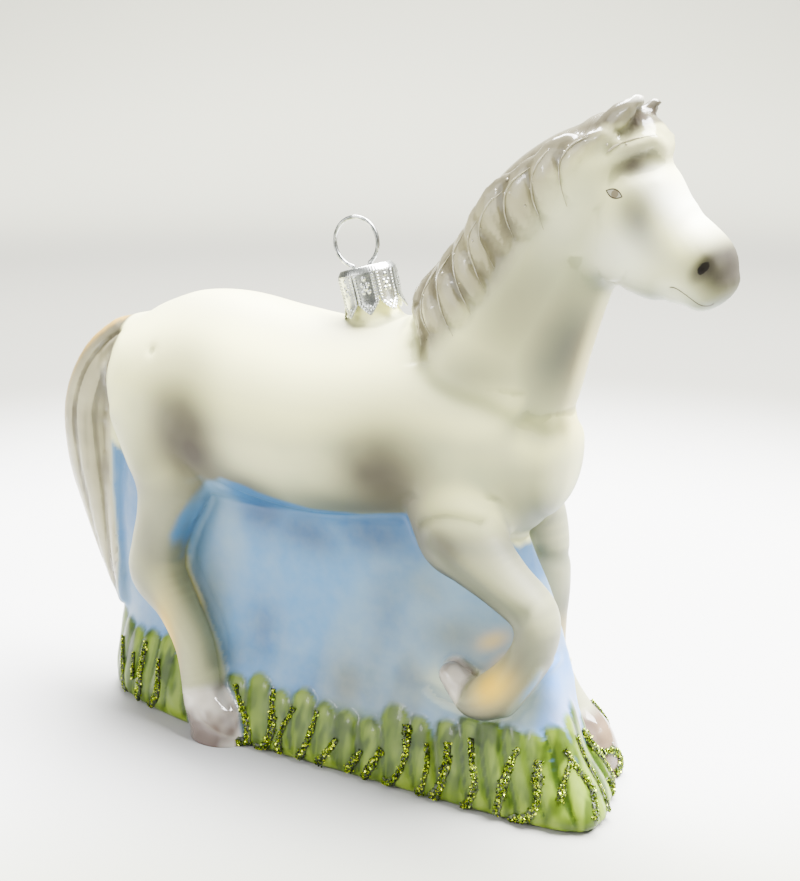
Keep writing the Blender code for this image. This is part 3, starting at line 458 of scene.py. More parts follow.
# Glitter strokes along the unrolled edge: (along, height, half width) from tip to foot.
NEAR_STROKES = (
    ((-55.5, 11.0, 0.3), (-53.6, 8.2, 0.45), (-52.0, 4.6, 0.5), (-51.4, 2.0, 0.9), (-50.2, 1.0, 0.9)),
    ((-49.0, 9.6, 0.35), (-48.2, 7.0, 0.4), (-47.6, 4.4, 0.35)),
    ((-45.6, 12.6, 0.6), (-45.2, 8.0, 0.8), (-44.4, 3.6, 0.9), (-45.2, 1.0, 0.8)),
    ((-40.4, 10.4, 0.5), (-38.8, 6.6, 0.7), (-38.6, 3.2, 0.9), (-41.0, 1.0, 0.9)),
    ((-18.8, 10.6, 0.4), (-16.6, 7.6, 0.5), (-14.2, 4.6, 0.8), (-13.4, 1.6, 1.1), (-15.6, 0.8, 0.9)),
    ((-10.0, 11.4, 0.4), (-8.8, 7.6, 0.7), (-8.0, 4.6, 0.9), (-9.2, 1.6, 0.8), (-11.6, 0.8, 0.7)),
    ((-4.4, 9.4, 0.6), (-5.6, 6.2, 0.6), (-6.0, 3.4, 0.7), (-6.0, 1.2, 1.0)),
    ((0.8, 9.8, 0.5), (0.4, 6.6, 0.5), (0.0, 3.6, 0.6), (-1.4, 1.2, 1.0)),
    ((6.2, 6.2, 0.6), (4.6, 3.4, 0.6), (2.8, 1.2, 0.8)),
    ((11.8, 5.4, 0.6), (10.6, 3.4, 0.7), (9.4, 1.4, 0.8)),
    ((15.8, 6.6, 0.6), (14.6, 3.8, 0.8), (12.9, 1.0, 1.0)),
    ((19.9, 11.4, 0.9), (20.6, 8.2, 0.7), (20.6, 4.6, 0.6), (18.6, 1.4, 0.8), (17.0, 1.2, 1.0)),
    ((24.4, 9.4, 0.5), (25.4, 6.4, 0.35), (25.4, 3.0, 0.6), (24.2, 0.8, 1.0)),
    ((28.6, 10.4, 0.7), (29.2, 7.0, 0.8), (28.6, 3.4, 0.9), (27.4, 0.9, 1.0)),
    ((32.8, 12.0, 0.7), (33.8, 8.6, 0.4), (35.4, 5.0, 0.7), (34.2, 1.2, 0.9), (33.0, 0.8, 0.8)),
    ((42.0, 12.2, 0.5), (40.8, 9.0, 0.7), (40.6, 5.4, 0.8), (40.0, 1.2, 0.7)),
    ((46.0, 11.0, 0.7), (46.6, 8.0, 0.9), (47.2, 4.6, 0.6), (45.4, 1.8, 0.8), (42.4, 0.8, 0.9)),
    ((52.4, 11.0, 0.5), (51.6, 8.6, 0.5), (51.2, 5.6, 0.7)),
    ((59.6, 13.0, 0.4), (60.4, 10.0, 0.45), (61.4, 6.8, 0.7), (59.6, 3.8, 0.7), (58.2, 2.6, 0.6)),
    ((64.4, 14.0, 0.4), (65.0, 9.0, 0.5), (64.6, 4.4, 0.6), (63.8, 1.6, 0.7)),
)
FAR_STROKE_COUNT = 22
FAR_STROKE_ENDS = (-56, 64)
GLUE_SIDES = 14
GLUE_RISE = (0.28, 0.22)                    # a bead's height: this much, and this share of its half width
FLAKES_PER_MM = 23
FLAKE_CORNERS = 5
FLAKE_SIZES = (0.13, 0.24)
FLAKE_HALF_THICKNESS = 0.035

# ---- colours (linear) -------------------------------------------------------------------------
# How far a place faces up, from 0 to 1, where the ivory's tones start and are full.
LIT_TOP = (0.45, 0.61)
LIT_CREST = (0.80, 0.96)
LIT_UNDER = (0.44, 0.10)
# Painted light and shade of the ivory: lit tones where it faces up, a shaded tone where it faces down.
IVORY_LIT_CREST = (0.60, 0.59, 0.33)
IVORY_LIT_TOP = (0.94, 0.92, 0.44)
IVORY_SIDE = (0.61, 0.60, 0.34)
IVORY_SHADED_UNDER = (0.13, 0.15, 0.12)
IVORY_CLOUD = (0.40, 0.43, 0.28)
# A painted highlight, and the tint of painted shade.
HIGHLIGHT_WHITE = (0.95, 0.95, 0.78)
SHADE_TINT = (0.205, 0.213, 0.31)
# Painted shade in the hollows and sunk lines.
CREASE_SHADE = (0.13, 0.15, 0.07)
# Grey airbrushed smoke, also used for painted shade.
SMOKE_AND_SHADE = (0.050, 0.041, 0.032)
AMBER = (0.74, 0.45, 0.015)
MUZZLE = (0.035, 0.030, 0.022)
MUZZLE_DARK = (0.022, 0.018, 0.014)
HAIR = (0.27, 0.245, 0.14)
# Dark hair for random patches, the far side and painted shade in the valleys; then a painted highlight on the
# ridges and painted shade where the hair faces up.
HAIR_DARK = (0.095, 0.082, 0.050)
HAIR_RIDGE_HIGHLIGHT = (0.43, 0.395, 0.25)
HAIR_SHADE = (0.05, 0.044, 0.030)
CREAM = (0.46, 0.28, 0.04)
EAR_TIP = (0.55, 0.54, 0.46)
HOOF = (0.115, 0.082, 0.067)
HOOF_PEARL = (0.54, 0.49, 0.42)
SKY_DEEP = (0.013, 0.060, 0.17)
SKY_PALE = (0.055, 0.190, 0.41)
SKY_BRIGHT = (0.040, 0.240, 0.74)
SKY_STRIP = (42.5, 46.5)    # x of the bright strip's start and of where it is full
SKY_MILK = (0.150, 0.245, 0.36)
SKY_HAZE = (0.10, 0.125, 0.14)
GRASS = (0.055, 0.096, 0.005)
# Deep green for the streaks and for painted shade in the hollows; the next is a painted highlight on the
# ridges.
GRASS_DEEP = (0.016, 0.034, 0.002)
GRASS_RIDGE_HIGHLIGHT = (0.20, 0.28, 0.022)
GRASS_YELLOW = (0.082, 0.132, 0.004)
LACQUER = (0.34, 0.31, 0.22)
EYE_WHITE = (0.32, 0.31, 0.23)
IRIS = (0.15, 0.125, 0.075)
BRUSH_BROWN = (0.035, 0.024, 0.014)
BLACK = (0.006, 0.004, 0.003)
SPECK = (0.04, 0.04, 0.03)
SILVER_BRIGHT = (0.58, 0.60, 0.56)
SILVER_DULL = (0.30, 0.31, 0.30)
WIRE_BRIGHT = (0.50, 0.51, 0.50)
WIRE_DARK = (0.10, 0.11, 0.10)
GLUE_DARK = (0.008, 0.012, 0.002)
GLUE_GREEN = (0.05, 0.075, 0.005)
FOIL_DARK = (0.016, 0.028, 0.002)
FOIL_GREEN = (0.17, 0.26, 0.006)
FOIL_YELLOW = (0.64, 0.74, 0.020)
PAPER = (0.42, 0.42, 0.415)
# Painted shadow in front of the object, and painted shade further away on the floor.
PAPER_SHADOW = (0.235, 0.245, 0.175)
PAPER_FAR_SHADE = (0.118, 0.117, 0.098)
PAPER_WALL = (0.41, 0.41, 0.33)

# ---- studio -----------------------------------------------------------------------------------
CAMERA_TURN = math.radians(30)
CAMERA_RISE = math.radians(15)
CAMERA_TARGET = (0.01015, 0.0, 0.0607)
CAMERA_DISTANCE = 0.25667
CAMERA_LENS = 57.2
WORLD_STRENGTH = 0.20
TOP_POWER = 235.0
FILL_POWER = 2.0
SPARK_POWER = 1.6
SIDE_POWER = 10.5
WALL_POWER = 45.0
# The paper sweep, in metres: half its width, its floor's runs, the bend's radius and the wall's top.
PAPER_HALF_WIDTH = 3.0
PAPER_RUNS = (-2.5, -1.0, -0.3, 0.0, 0.4, 0.9)
PAPER_BEND = 0.7
PAPER_TOP = 2.6


# ---- numpy shapes ------------------------------------------------------------------------------
def smooth_rows(rows, steps):
    """Rows read from a Catmull-Rom curve: on each span, the cubic through its ends whose slope at a
    row is half of the step between that row's neighbours."""
    points = np.array(rows, dtype=float)
    padded = np.vstack((2 * points[0] - points[1], points, 2 * points[-1] - points[-2]))
    t = (np.arange(steps) / steps)[None, :, None]
    before, start, end, after = (padded[i:i + len(points) - 1, None, :] for i in range(4))
    curve = 0.5 * (2 * start + (end - before) * t + (2 * before - 5 * start + 4 * end - after) * t ** 2
                   + (3 * start - before - 3 * end + after) * t ** 3)
    return np.vstack((curve.reshape(-1, points.shape[1]), points[-1]))


def read_table(table, values):
    """A table of pairs read at some values, on straight lines between its rows."""
    return np.interp(values, *zip(*table))


def signed_power(values, power):
    """Values raised to a power without their signs, which they keep: a superellipse's coordinate."""
    return np.sign(values) * np.abs(values) ** power


def unit(vectors):
    return vectors / np.maximum(np.linalg.norm(vectors, axis=-1, keepdims=True), 1e-12)


def grid_faces(rows, columns, wrap=True):
    """Quads between neighbouring rows of a grid of points, closed across the columns when wrap."""
    across = np.arange(columns if wrap else columns - 1)
    beside = (across + 1) % columns
    start = (np.arange(rows - 1) * columns)[:, None]
    quads = np.stack((start + across, start + beside, start + beside + columns, start + across + columns), -1)
    return quads.reshape(-1, 4)


def closed_loft(grid):
    """Points and faces of a ring grid with both ends closed by one face."""
    rows, columns = grid.shape[:2]
    faces = grid_faces(rows, columns).tolist()
    faces.append(list(range(columns))[::-1])
    faces.append([(rows - 1) * columns + i for i in range(columns)])
    return grid.reshape(-1, 3), faces


def limb(rows, steps=6, sides=LOFT_SIDES, domes=6, bulge=1.0, square=2.0):
    """A profile carried along a path: each ring is its centre + across * depth * C + y * width * S,
    where C and S are the cosine and sine of the turn raised to 2 / square, and each end is a dome
    whose rings shrink as sin(a) while they move out as cos(a)."""
    stations = smooth_rows(rows, steps)
    path = stations[:, :2]
    along = unit(np.gradient(path, axis=0))
    angles = math.pi / 2 * (np.arange(domes) + 0.35) / (domes + 0.35)
    sizes = np.concatenate((np.sin(angles), np.ones(len(stations)), np.sin(angles)[::-1]))
    last = len(stations) - 1
    picks = np.concatenate((np.zeros(domes, int), np.arange(last + 1), np.full(domes, last)))
    reach = np.zeros(len(picks))
    reach[:domes] = -bulge * stations[0, 2:4].min() * np.cos(angles)
    reach[-domes:] = bulge * stations[-1, 2:4].min() * np.cos(angles)[::-1]
    centres = path[picks] + along[picks] * reach[:, None]
    across = np.stack((-along[picks, 1], along[picks, 0]), -1)
    turns = np.linspace(0, 2 * math.pi, sides, endpoint=False)
    cosine, sine = signed_power(np.cos(turns), 2 / square), signed_power(np.sin(turns), 2 / square)
    deep = (stations[picks, 2] * sizes)[:, None, None]
    flat = centres[:, None, :] + across[:, None, :] * deep * cosine[None, :, None]
    y = stations[picks, 4][:, None] + (stations[picks, 3] * sizes)[:, None] * sine[None, :]
    return closed_loft(np.stack((flat[..., 0], y, flat[..., 1]), -1))


def base_ring(turns):
    """The base's outline in plan as shares of its half length and half width: a superellipse that is
    squarest at the near front."""
    cosine, sine = np.cos(turns), np.sin(turns)
    front = np.where(sine > 0, SQUARE_FRONT_FAR, SQUARE_FRONT_NEAR)
    power = 2 / np.where(cosine > 0, front, SQUARE_BACK)
    return signed_power(cosine, power), signed_power(sine, power)


def panel_shape():
    """Level rings stacked upwards, each with the base's outline at its own length and width."""
    along, across = base_ring(np.linspace(0, 2 * math.pi, PANEL_SIDES, endpoint=False))
    rows = smooth_rows(PANEL, PANEL_STEPS)
    middle, half_length = (rows[:, 1:2] + rows[:, 2:3]) / 2, (rows[:, 2:3] - rows[:, 1:2]) / 2
    x = middle + half_length * along
    y = rows[:, 3:4] * across
    z = np.broadcast_to(rows[:, :1], x.shape)
    slant = FRONT_SLANT * np.maximum(y - SLANT_FROM, 0) * ramp(x, *SLANT_LENGTH) * ramp(z, *SLANT_HEIGHT)
    return closed_loft(np.stack((x - slant, y, z), -1))


def neck_half_width(x, z):
    """How far the neck's side stands from the parting plane at a place in side view."""
    rows = smooth_rows(NECK, 8)
    path = rows[:, :2]
    along = unit(np.gradient(path, axis=0))
    nearest = np.argmin((path[:, 0] - x) ** 2 + (path[:, 1] - z) ** 2)
    off = (x - path[nearest, 0]) * -along[nearest, 1] + (z - path[nearest, 1]) * along[nearest, 0]
    share = min(abs(off) / rows[nearest, 2], 0.98)
    return rows[nearest, 3] * math.sqrt(1 - share ** 2)


def resampled(path, count):
    """A smooth line read at evenly spaced shares."""
    line = smooth_rows(path, 8)
    share, wanted = np.linspace(0, 1, len(line)), np.linspace(0, 1, count)
    return np.stack([np.interp(wanted, share, column) for column in line.T], -1)


def lock_between(ahead, behind):
    """A near lock of the mane, lofted down the middle between two lines and as wide as their gap."""
    first, second = (resampled(line, len(NEAR_LOCK_SIZES)) for line in (ahead, behind))
    rows = []
    for index, (share, thick, off) in enumerate(NEAR_LOCK_SIZES):
        x, z = (first[index] + second[index]) / 2
        half = share * math.hypot(*(first[index] - second[index]))
        rows.append((x, z, half, thick, NEAR * (neck_half_width(x, z) + off)))
    return limb(rows, steps=5, sides=LOCK_SIDES, domes=4)


def far_lock(lock):
    """A far lock: a flattened loft that starts high on the crest and lies on the neck's side."""
    *places, half = lock
    rows = []
    for index, ((x, z), (wide, thick, off)) in enumerate(zip(places, FAR_LOCK_SIZES)):
        y = FAR_LOCK_ROOT if index == 0 else neck_half_width(x, z) + off
        rows.append((x, z, half * wide, thick, FAR * y))
    return limb(rows, sides=LOCK_SIDES, domes=4)


def on_cap(points):
    """Points drawn about the cap's own axis (x, y, height), leant back and put on the horse."""
    lean = Matrix.Rotation(-CAP_LEAN, 3, "Y")
    return np.asarray(points) @ np.array(lean).T + np.array((CAP_TOP[0], 0, CAP_TOP[1]))


def turned(profile, sides):
    """A profile of (radius, height) carried round the cap's axis."""
    profile = np.asarray(profile, float)
    turns = np.linspace(0, 2 * math.pi, sides, endpoint=False)
    ring = np.stack((np.cos(turns), np.sin(turns)), -1)
    heights = np.broadcast_to(profile[:, None, 1:], (len(profile), sides, 1))
    points, faces = closed_loft(np.concatenate((profile[:, None, :1] * ring, heights), -1))
    return on_cap(points), faces


def mesh_object(name, shapes):
    """One object from several (points, faces) shapes drawn in mm."""
    points, faces, start = [], [], 0
    for shape_points, shape_faces in shapes:
        points.append(shape_points)
        faces.extend((np.asarray(face) + start).tolist() for face in shape_faces)
        start += len(shape_points)
    drawn = np.vstack(points)
    placed = (drawn - (DRAWN_MIDDLE, 0, 0)) * MM
    mesh = bpy.data.meshes.new(name)
    mesh.from_pydata(placed.tolist(), [], faces)
    mesh.update()
    thing = bpy.data.objects.new(name, mesh)
    bpy.context.scene.collection.objects.link(thing)
    return thing


def settle(thing):
    """Replace an object's mesh by what its modifiers make of it."""
    bpy.context.view_layer.update()
    graph = bpy.context.evaluated_depsgraph_get()
    mesh = bpy.data.meshes.new_from_object(thing.evaluated_get(graph))
    thing.modifiers.clear()
    thing.data = mesh


def drawn_points(thing):
    """An object's vertices in drawn mm."""
    flat = np.zeros(len(thing.data.vertices) * 3)
    thing.data.vertices.foreach_get("co", flat)
    return flat.reshape(-1, 3) / MM + (DRAWN_MIDDLE, 0, 0)


def put_points(thing, drawn):
    """Move an object's vertices to places in drawn mm."""
    thing.data.vertices.foreach_set("co", ((drawn - (DRAWN_MIDDLE, 0, 0)) * MM).ravel())
    thing.data.update()


def vertex_normals(thing):
    flat = np.zeros(len(thing.data.vertices) * 3)
    thing.data.vertices.foreach_get("normal", flat)
    return flat.reshape(-1, 3)


def keep(thing, name, values):
    """Store one number per vertex for the material to read."""
    layer = thing.data.attributes.new(name, "FLOAT", "POINT")
    layer.data.foreach_set("value", np.asarray(values, dtype=np.float32))


# ---- fields over the skin ------------------------------------------------------------------------
def ramp(value, low, high):
    """0 below low, 1 above high, and a smooth step between; runs down when high is below low."""
    t = np.clip((value - low) / (high - low), 0, 1)
    return t * t * (3 - 2 * t)


def limb_field(points, rows, steps=4):
    """For each point, over the loft's spans: how far outside its surface it lies, how far along it
    is as a share, and how far off its middle line in side view as a share of the half depth."""
    stations = smooth_rows(rows, steps)
    gap = np.full(len(points), 1e3)
    share = np.zeros(len(points))
    off = np.zeros(len(points))
    place = points[:, (0, 2)]
    for index, (start, end) in enumerate(zip(stations, stations[1:])):
        span = end[:2] - start[:2]
        length = math.hypot(*span)
        t = np.clip((place - start[:2]) @ span / length ** 2, 0, 1)
        row = start + t[:, None] * (end - start)
        sideways = ((place - row[:, :2]) @ np.array((-span[1], span[0]))) / length
        distance = np.hypot(*(place - row[:, :2]).T)
        level = np.hypot(distance / row[:, 2], (points[:, 1] - row[:, 4]) / row[:, 3])
        this_gap = (level - 1) * np.minimum(row[:, 2], row[:, 3])
        closer = this_gap < gap
        gap = np.where(closer, this_gap, gap)
        share = np.where(closer, (index + t) / (len(stations) - 1), share)
        off = np.where(closer, sideways / row[:, 2], off)
    return gap, share, off


def line_field(place, path, steps=5):
    """Distance in side view from a smooth line, and how far along the line as a share."""
    line = smooth_rows(path, steps)
    best = np.full(len(place), 1e3)
    share = np.zeros(len(place))
    for index, (start, end) in enumerate(zip(line, line[1:])):
        span = end - start
        t = np.clip((place - start) @ span / (span @ span), 0, 1)
        distance = np.hypot(*(place - start - t[:, None] * span).T)
        closer = distance < best
        best = np.where(closer, distance, best)
        share = np.where(closer, (index + t) / (len(line) - 1), share)
    return best, share


def spot(place, x, z, across, along, turn=0.0):
    """A soft spot: exp(-(u/across)^2 - (v/along)^2) about a place, turned by some degrees."""
    angle = math.radians(turn)
    dx, dz = place[:, 0] - x, place[:, 1] - z
    u = dx * math.cos(angle) + dz * math.sin(angle)
    v = dz * math.cos(angle) - dx * math.sin(angle)
    return np.exp(-(u / across) ** 2 - (v / along) ** 2)


def strongest(place, spots):
    """At each place, the largest of some spots' strengths."""
    total = np.zeros(len(place))
    for *shape, strength in spots:
        total = np.maximum(total, strength * spot(place, *shape))
    return total


def wander(points, scale, seed):
    """Smooth noise as a sum of six sine waves in random directions."""
    random = np.random.default_rng(seed)
    total = np.zeros(len(points))
    for _ in range(6):
        direction = unit(random.normal(size=3)) * 2 * math.pi / (scale * random.uniform(0.7, 1.5))
        total += np.sin(points @ direction + random.uniform(0, 2 * math.pi))
    return total / 6


def base_outline(side):
    """The base's edge in plan from its back end to its front on one side, with the length along it
    measured from the place beside its middle."""
    along, across = base_ring(np.linspace(math.pi, 0, 900) * side)
    plan = np.stack((BASE_MIDDLE + BASE_HALF_LENGTH * along, BASE_HALF_WIDTH * across), -1)
    length = np.concatenate(((0,), np.cumsum(np.hypot(*np.diff(plan, axis=0).T))))
    return plan, length - np.interp(BASE_MIDDLE, plan[:, 0], length)


def unrolled(points, side):
    """How far along the base's edge each point lies: its taper with height is undone, and the
    place on the edge is found by its direction from the middle."""
    plan, length = base_outline(side)
    rows = smooth_rows(PANEL, PANEL_STEPS)
    back, front, wide = (np.interp(points[:, 2], rows[:, 0], rows[:, i]) for i in (1, 2, 3))
    x = (2 * points[:, 0] - back - front) / (front - back)
    turn = np.arctan2(points[:, 1] / wide, x)
    edge_turn = np.arctan2(plan[:, 1] / BASE_HALF_WIDTH, (plan[:, 0] - BASE_MIDDLE) / BASE_HALF_LENGTH)
    order = np.argsort(edge_turn)
    return np.interp(turn, edge_turn[order], length[order])


def far_blades():
    """Blades for the far side, spread evenly with some disorder and taller at both ends."""
    random = np.random.default_rng(7)
    feet = np.linspace(*FAR_BLADE_ENDS, FAR_BLADE_COUNT) + random.uniform(-0.7, 0.7, FAR_BLADE_COUNT)
    tips = feet + random.uniform(-1.2, 1.2, FAR_BLADE_COUNT)
    tops = FAR_BLADE_TOP + random.uniform(-1.8, 1.8, FAR_BLADE_COUNT)
    tops = tops + FAR_BLADE_RISE * np.abs(feet / FAR_BLADE_ENDS[1]) ** 3
    return tuple(zip(feet, tips, tops, random.uniform(2.6, 3.1, FAR_BLADE_COUNT)))


def blade_field(along, z, blades):
    """The strongest blade at each place: (1 - (off / half width)^2) ^ 0.75, with a rounded tip that
    fades over the blade's last quarter."""
    best = np.zeros(len(z))
    for index, (foot, tip, top, half) in enumerate(blades):
        rise = np.clip(z / top, 0, 1)
        middle = foot + (tip - foot) * rise + 0.5 * math.sin(index * 2.3) * np.sin(rise * math.pi)
        wide = half * (0.82 + 0.3 * np.sin(rise * 2.4))
        over = np.clip((z - (top - half)) / half, 0, 2)
        level = 1 - ((along - middle) / wide) ** 2 - over ** 2
        best = np.maximum(best, np.clip(level, 0, 1) ** 0.75 * (1 - 0.4 * ramp(z / top, 0.75, 1.0)))
    return best


# ---- the glass -----------------------------------------------------------------------------------
def sided(rows, side, drop=0.0, **detail):
    """A loft of the head's small swellings on one side, lowered by some mm."""
    return limb([(x, z - drop, deep, wide, side * y) for x, z, deep, wide, y in rows], **detail)


def head_shapes(side):
    """One side's ear, the forelock's rolled edge, the brow, the round cheek and the nostril's wing."""
    return [
        sided(EAR, side, drop=FAR_EAR_DROP if side == FAR else 0.0, steps=5, sides=SMALL_SIDES),
        sided(FRINGE, side, steps=5, sides=SMALL_SIDES),
        sided(BROW, side, sides=SMALL_SIDES),
        sided(CHEEK, side, sides=CHEEK_SIDES),
        sided(NOSTRIL_WING, side, sides=SMALL_SIDES),
    ]


def fused_glass():
    """All blown shapes fused on a fine grid, relaxed, melted where they meet, and not yet cut."""
    shapes = [limb(TRUNK, bulge=0.45, sides=TRUNK_SIDES), limb(HEAD, square=2.35, bulge=0.55), limb(JAW),
              panel_shape(), turned(SPOUT, SPOUT_SIDES)]
    for rows in (NECK, FORELOCK, TAIL, TAIL_WEB, RIGHT_HIND, LEFT_HIND, RIGHT_FORE, LEFT_FORE):
        shapes.append(limb(rows))
    for side in (NEAR, FAR):
        shapes += head_shapes(side)
    shapes += [lock_between(ahead, behind) for ahead, behind in zip(MANE_LINES, MANE_LINES[1:])]
    shapes += [far_lock(lock) for lock in FAR_LOCKS]
    glass = mesh_object("horse_glass", shapes)
    fuse = glass.modifiers.new("fuse", "REMESH")
    fuse.mode = "VOXEL"
    fuse.voxel_size = SKIN_VOXEL * MM
    soften = glass.modifiers.new("soften", "SMOOTH")
    soften.factor = 0.5
    soften.iterations = 3
    settle(glass)
    points = drawn_points(glass)
    share = np.clip(strongest(points[:, (0, 2)], MELTS), 0, 1)
    melted = neighbour_mean(glass, points, MELT_ROUNDS)
    put_points(glass, points + (melted - points) * share[:, None])
    return glass


def level_foot(glass):
    """Cut the glass level at z = 0 and close the cut."""
    bm = bmesh.new()
    bm.from_mesh(glass.data)
    made = bmesh.ops.bisect_plane(bm, geom=bm.verts[:] + bm.edges[:] + bm.faces[:], plane_co=(0, 0, 0),
                                  plane_no=(0, 0, -1), clear_outer=True)
    rim = [item for item in made["geom_cut"] if isinstance(item, bmesh.types.BMEdge)]
    bmesh.ops.edgenet_fill(bm, edges=rim)
    bmesh.ops.triangulate(bm, faces=[face for face in bm.faces if len(face.verts) > 4])
    bmesh.ops.recalc_face_normals(bm, faces=bm.faces)
    bm.to_mesh(glass.data)
    bm.free()


def creases(place, side_share):
    """Lines pressed into or raised from both sides: exp(-(distance / width)^2) along each line."""
    total = np.zeros(len(place))
    for path, width, amount in CREASES:
        distance, share = line_field(place, path)
        ends = ramp(share, 0.0, 0.06) * ramp(share, 1.0, 0.94)
        total += amount * ends * np.exp(-(distance / width) ** 2)
    return total * side_share


def swell(place, side_share):
    """Muscle, bone and hollows: soft spots raised or sunk on both sides."""
    total = np.zeros(len(place))
    for x, z, across, along, turn, amount in SWELLS:
        total += amount * spot(place, x, z, across, along, turn)
    return total * side_share


def grass_relief(points, field):
    """Pillowed blades round the flare, left off the legs."""
    z = points[:, 2]
    blades = np.zeros(len(points))
    for side, rows in ((NEAR, NEAR_BLADES), (FAR, far_blades())):
        mine = (points[:, 1] * side >= 0) & (z < 24)
        blades[mine] = blade_field(unrolled(points[mine], side), z[mine], rows)
    clear = ramp(field["legs"], 0.2, 1.4)
    tips = blades + 0.12 * wander(points, 2.4, 11)
    field["blades"] = blades
    field["grass"] = np.maximum(ramp(tips, 0.0, 0.5), ramp(z, *GRASS_FILLED)) * clear
    return 0.55 * (blades - 0.6) * clear * ramp(z, 0.0, 2.2) * ramp(z, 22, 18)


def tail_relief(points, field, share, off, side_share):
    """Strands that run down the tail, with sharp valleys between rounded strands."""
    front = read_table(TAIL_FRONT, points[:, 2])
    tail = ramp(points[:, 0], front + 0.5, front - 0.7) * ramp(points[:, 2], *TAIL_RISE)
    strands = np.abs(np.sin(off * 4.4 + share * 2.4 + 0.5 * np.sin(share * 9)))
    field["tail"] = tail
    field["tail_edge"] = tail * ramp(off, -0.5, -0.85)
    return -0.5 * tail * (1 - strands) ** 3 * side_share


def mane_relief(points, field, side_share):
    """Fine strands along the mane's locks, which fade towards the neck's front."""
    x, z = points[:, 0], points[:, 2]
    behind = read_table(MANE_FRONT, z) - x
    above = ramp(z, *MANE_RISE) * ramp(x - read_table(MANE_BACK, z), -0.8, 1.6)
    field["mane"] = ramp(behind, -1.0, 6.0) * above
    field["mane_glaze"] = ramp(behind, -2.0, 2.5) * above
    waves = np.sin((x + 0.45 * z) * 3.1 + 1.5 * np.sin(z * 0.5))
    return 0.035 * waves * field["mane"] * side_share


def relief(points):
    """Height of the mould's relief over the skin in mm, and the fields that the paint follows."""
    place = points[:, (0, 2)]
    side_share = ramp(np.abs(points[:, 1]), *RELIEF_SIDE)
    legs, body = (np.minimum.reduce([limb_field(points, rows)[0] for rows in group])
                  for group in ((RIGHT_HIND, LEFT_HIND, RIGHT_FORE, LEFT_FORE), (TRUNK, NECK, HEAD)))
    field = {"legs": legs, "horse": np.minimum(legs, body)}
    _, share, off = limb_field(points, TAIL)
    height = creases(place, side_share) + swell(place, side_share)
    height += grass_relief(points, field)
    height += tail_relief(points, field, share, off, side_share)
    height += mane_relief(points, field, side_share)
    return height, field


def sky_field(points, field):
    """The sky lies on the panel, off the horse. It laps onto the belly's lower edge and onto the
    front of the near hind leg, and is thin on the ledge under the raised hoof."""
    x, y, z = points.T
    belly = read_table(BELLY_EDGE, x)
    lap = 1.4 * ramp(z, belly + 0.4, belly - 1.2) * ramp(z, 38, 43) * ramp(x, -22.5, -18.5) * ramp(x, 25, 20)
    lap = lap * ramp(field["legs"], 0.2, 1.6)
    edge = read_table(HIND_FRONT, z)
    lap = lap + 1.6 * ramp(x, edge - 0.6, edge + 1.8) * ramp(x, -12, -16) * ramp(z, 14, 24) * ramp(z, 53, 50)
    sky = ramp(field["horse"] + lap + 0.4 * wander(points, 6, 3), *SKY_EDGE) * ramp(z, *SKY_RISE)
    ledge = spot(points[:, (0, 2)], *LEDGE) * (y < 0)
    sky = sky * (1 - field["tail"]) * (1 - 0.7 * ledge)
    return sky * (1 - ramp(z, belly - 0.2, belly + 1.2) * ramp(x, -38, -33) * ramp(x, 34, 26))


def hair_fields(x, z, field):
    """The grey hair's colour, its gloss, the pale tips of the ears and the tail's cream edge."""
    ear = ramp(z, *EAR_RISE) * ramp(x, *EAR_REACH)
    fringe = ramp(z, *FRINGE_RISE) * ramp(x, *FRINGE_REACH)
    fringe = fringe * ramp(z + FRINGE_SLOPE * (x - FRINGE_REACH[1]), 113.5, 115.5)
    return {
        "ear_tip": ear * ramp(z, *EAR_TIP_RISE),
        "hair": np.maximum.reduce((field["mane"], field["tail"], ear, 0.55 * fringe)),
        "glaze": np.maximum.reduce((field["mane_glaze"], field["tail"], ear, fringe)),
        "cream": field["tail_edge"],
    }


def hoof_field(points, legs):
    """The hooves, each on its own side."""
    hoof = np.zeros(len(points))
    for *shape, side in HOOVES:
        reach = ramp(spot(points[:, (0, 2)], *shape), *HOOF_EDGE)
        hoof = np.maximum(hoof, reach * (points[:, 1] * side > HOOF_SIDE))
    return hoof * ramp(legs, 1.4, 0.4)


def crease_shade_field(place, side):
    """Painted shade in the sunk lines, a little wider than each line."""
    pooled = np.zeros(len(place))
    for path, width, height in CREASES:
        if height < 0:
            distance, share = line_field(place, path)
            ends = ramp(share, 0, 0.05) * ramp(share, 1, 0.95)
            line = ends * np.exp(-(distance / (width * 1.25)) ** 2)
            pooled = np.maximum(pooled, line * min(1.0, -height / 1.1))
    return pooled * ramp(side, 0.5, 4.0)


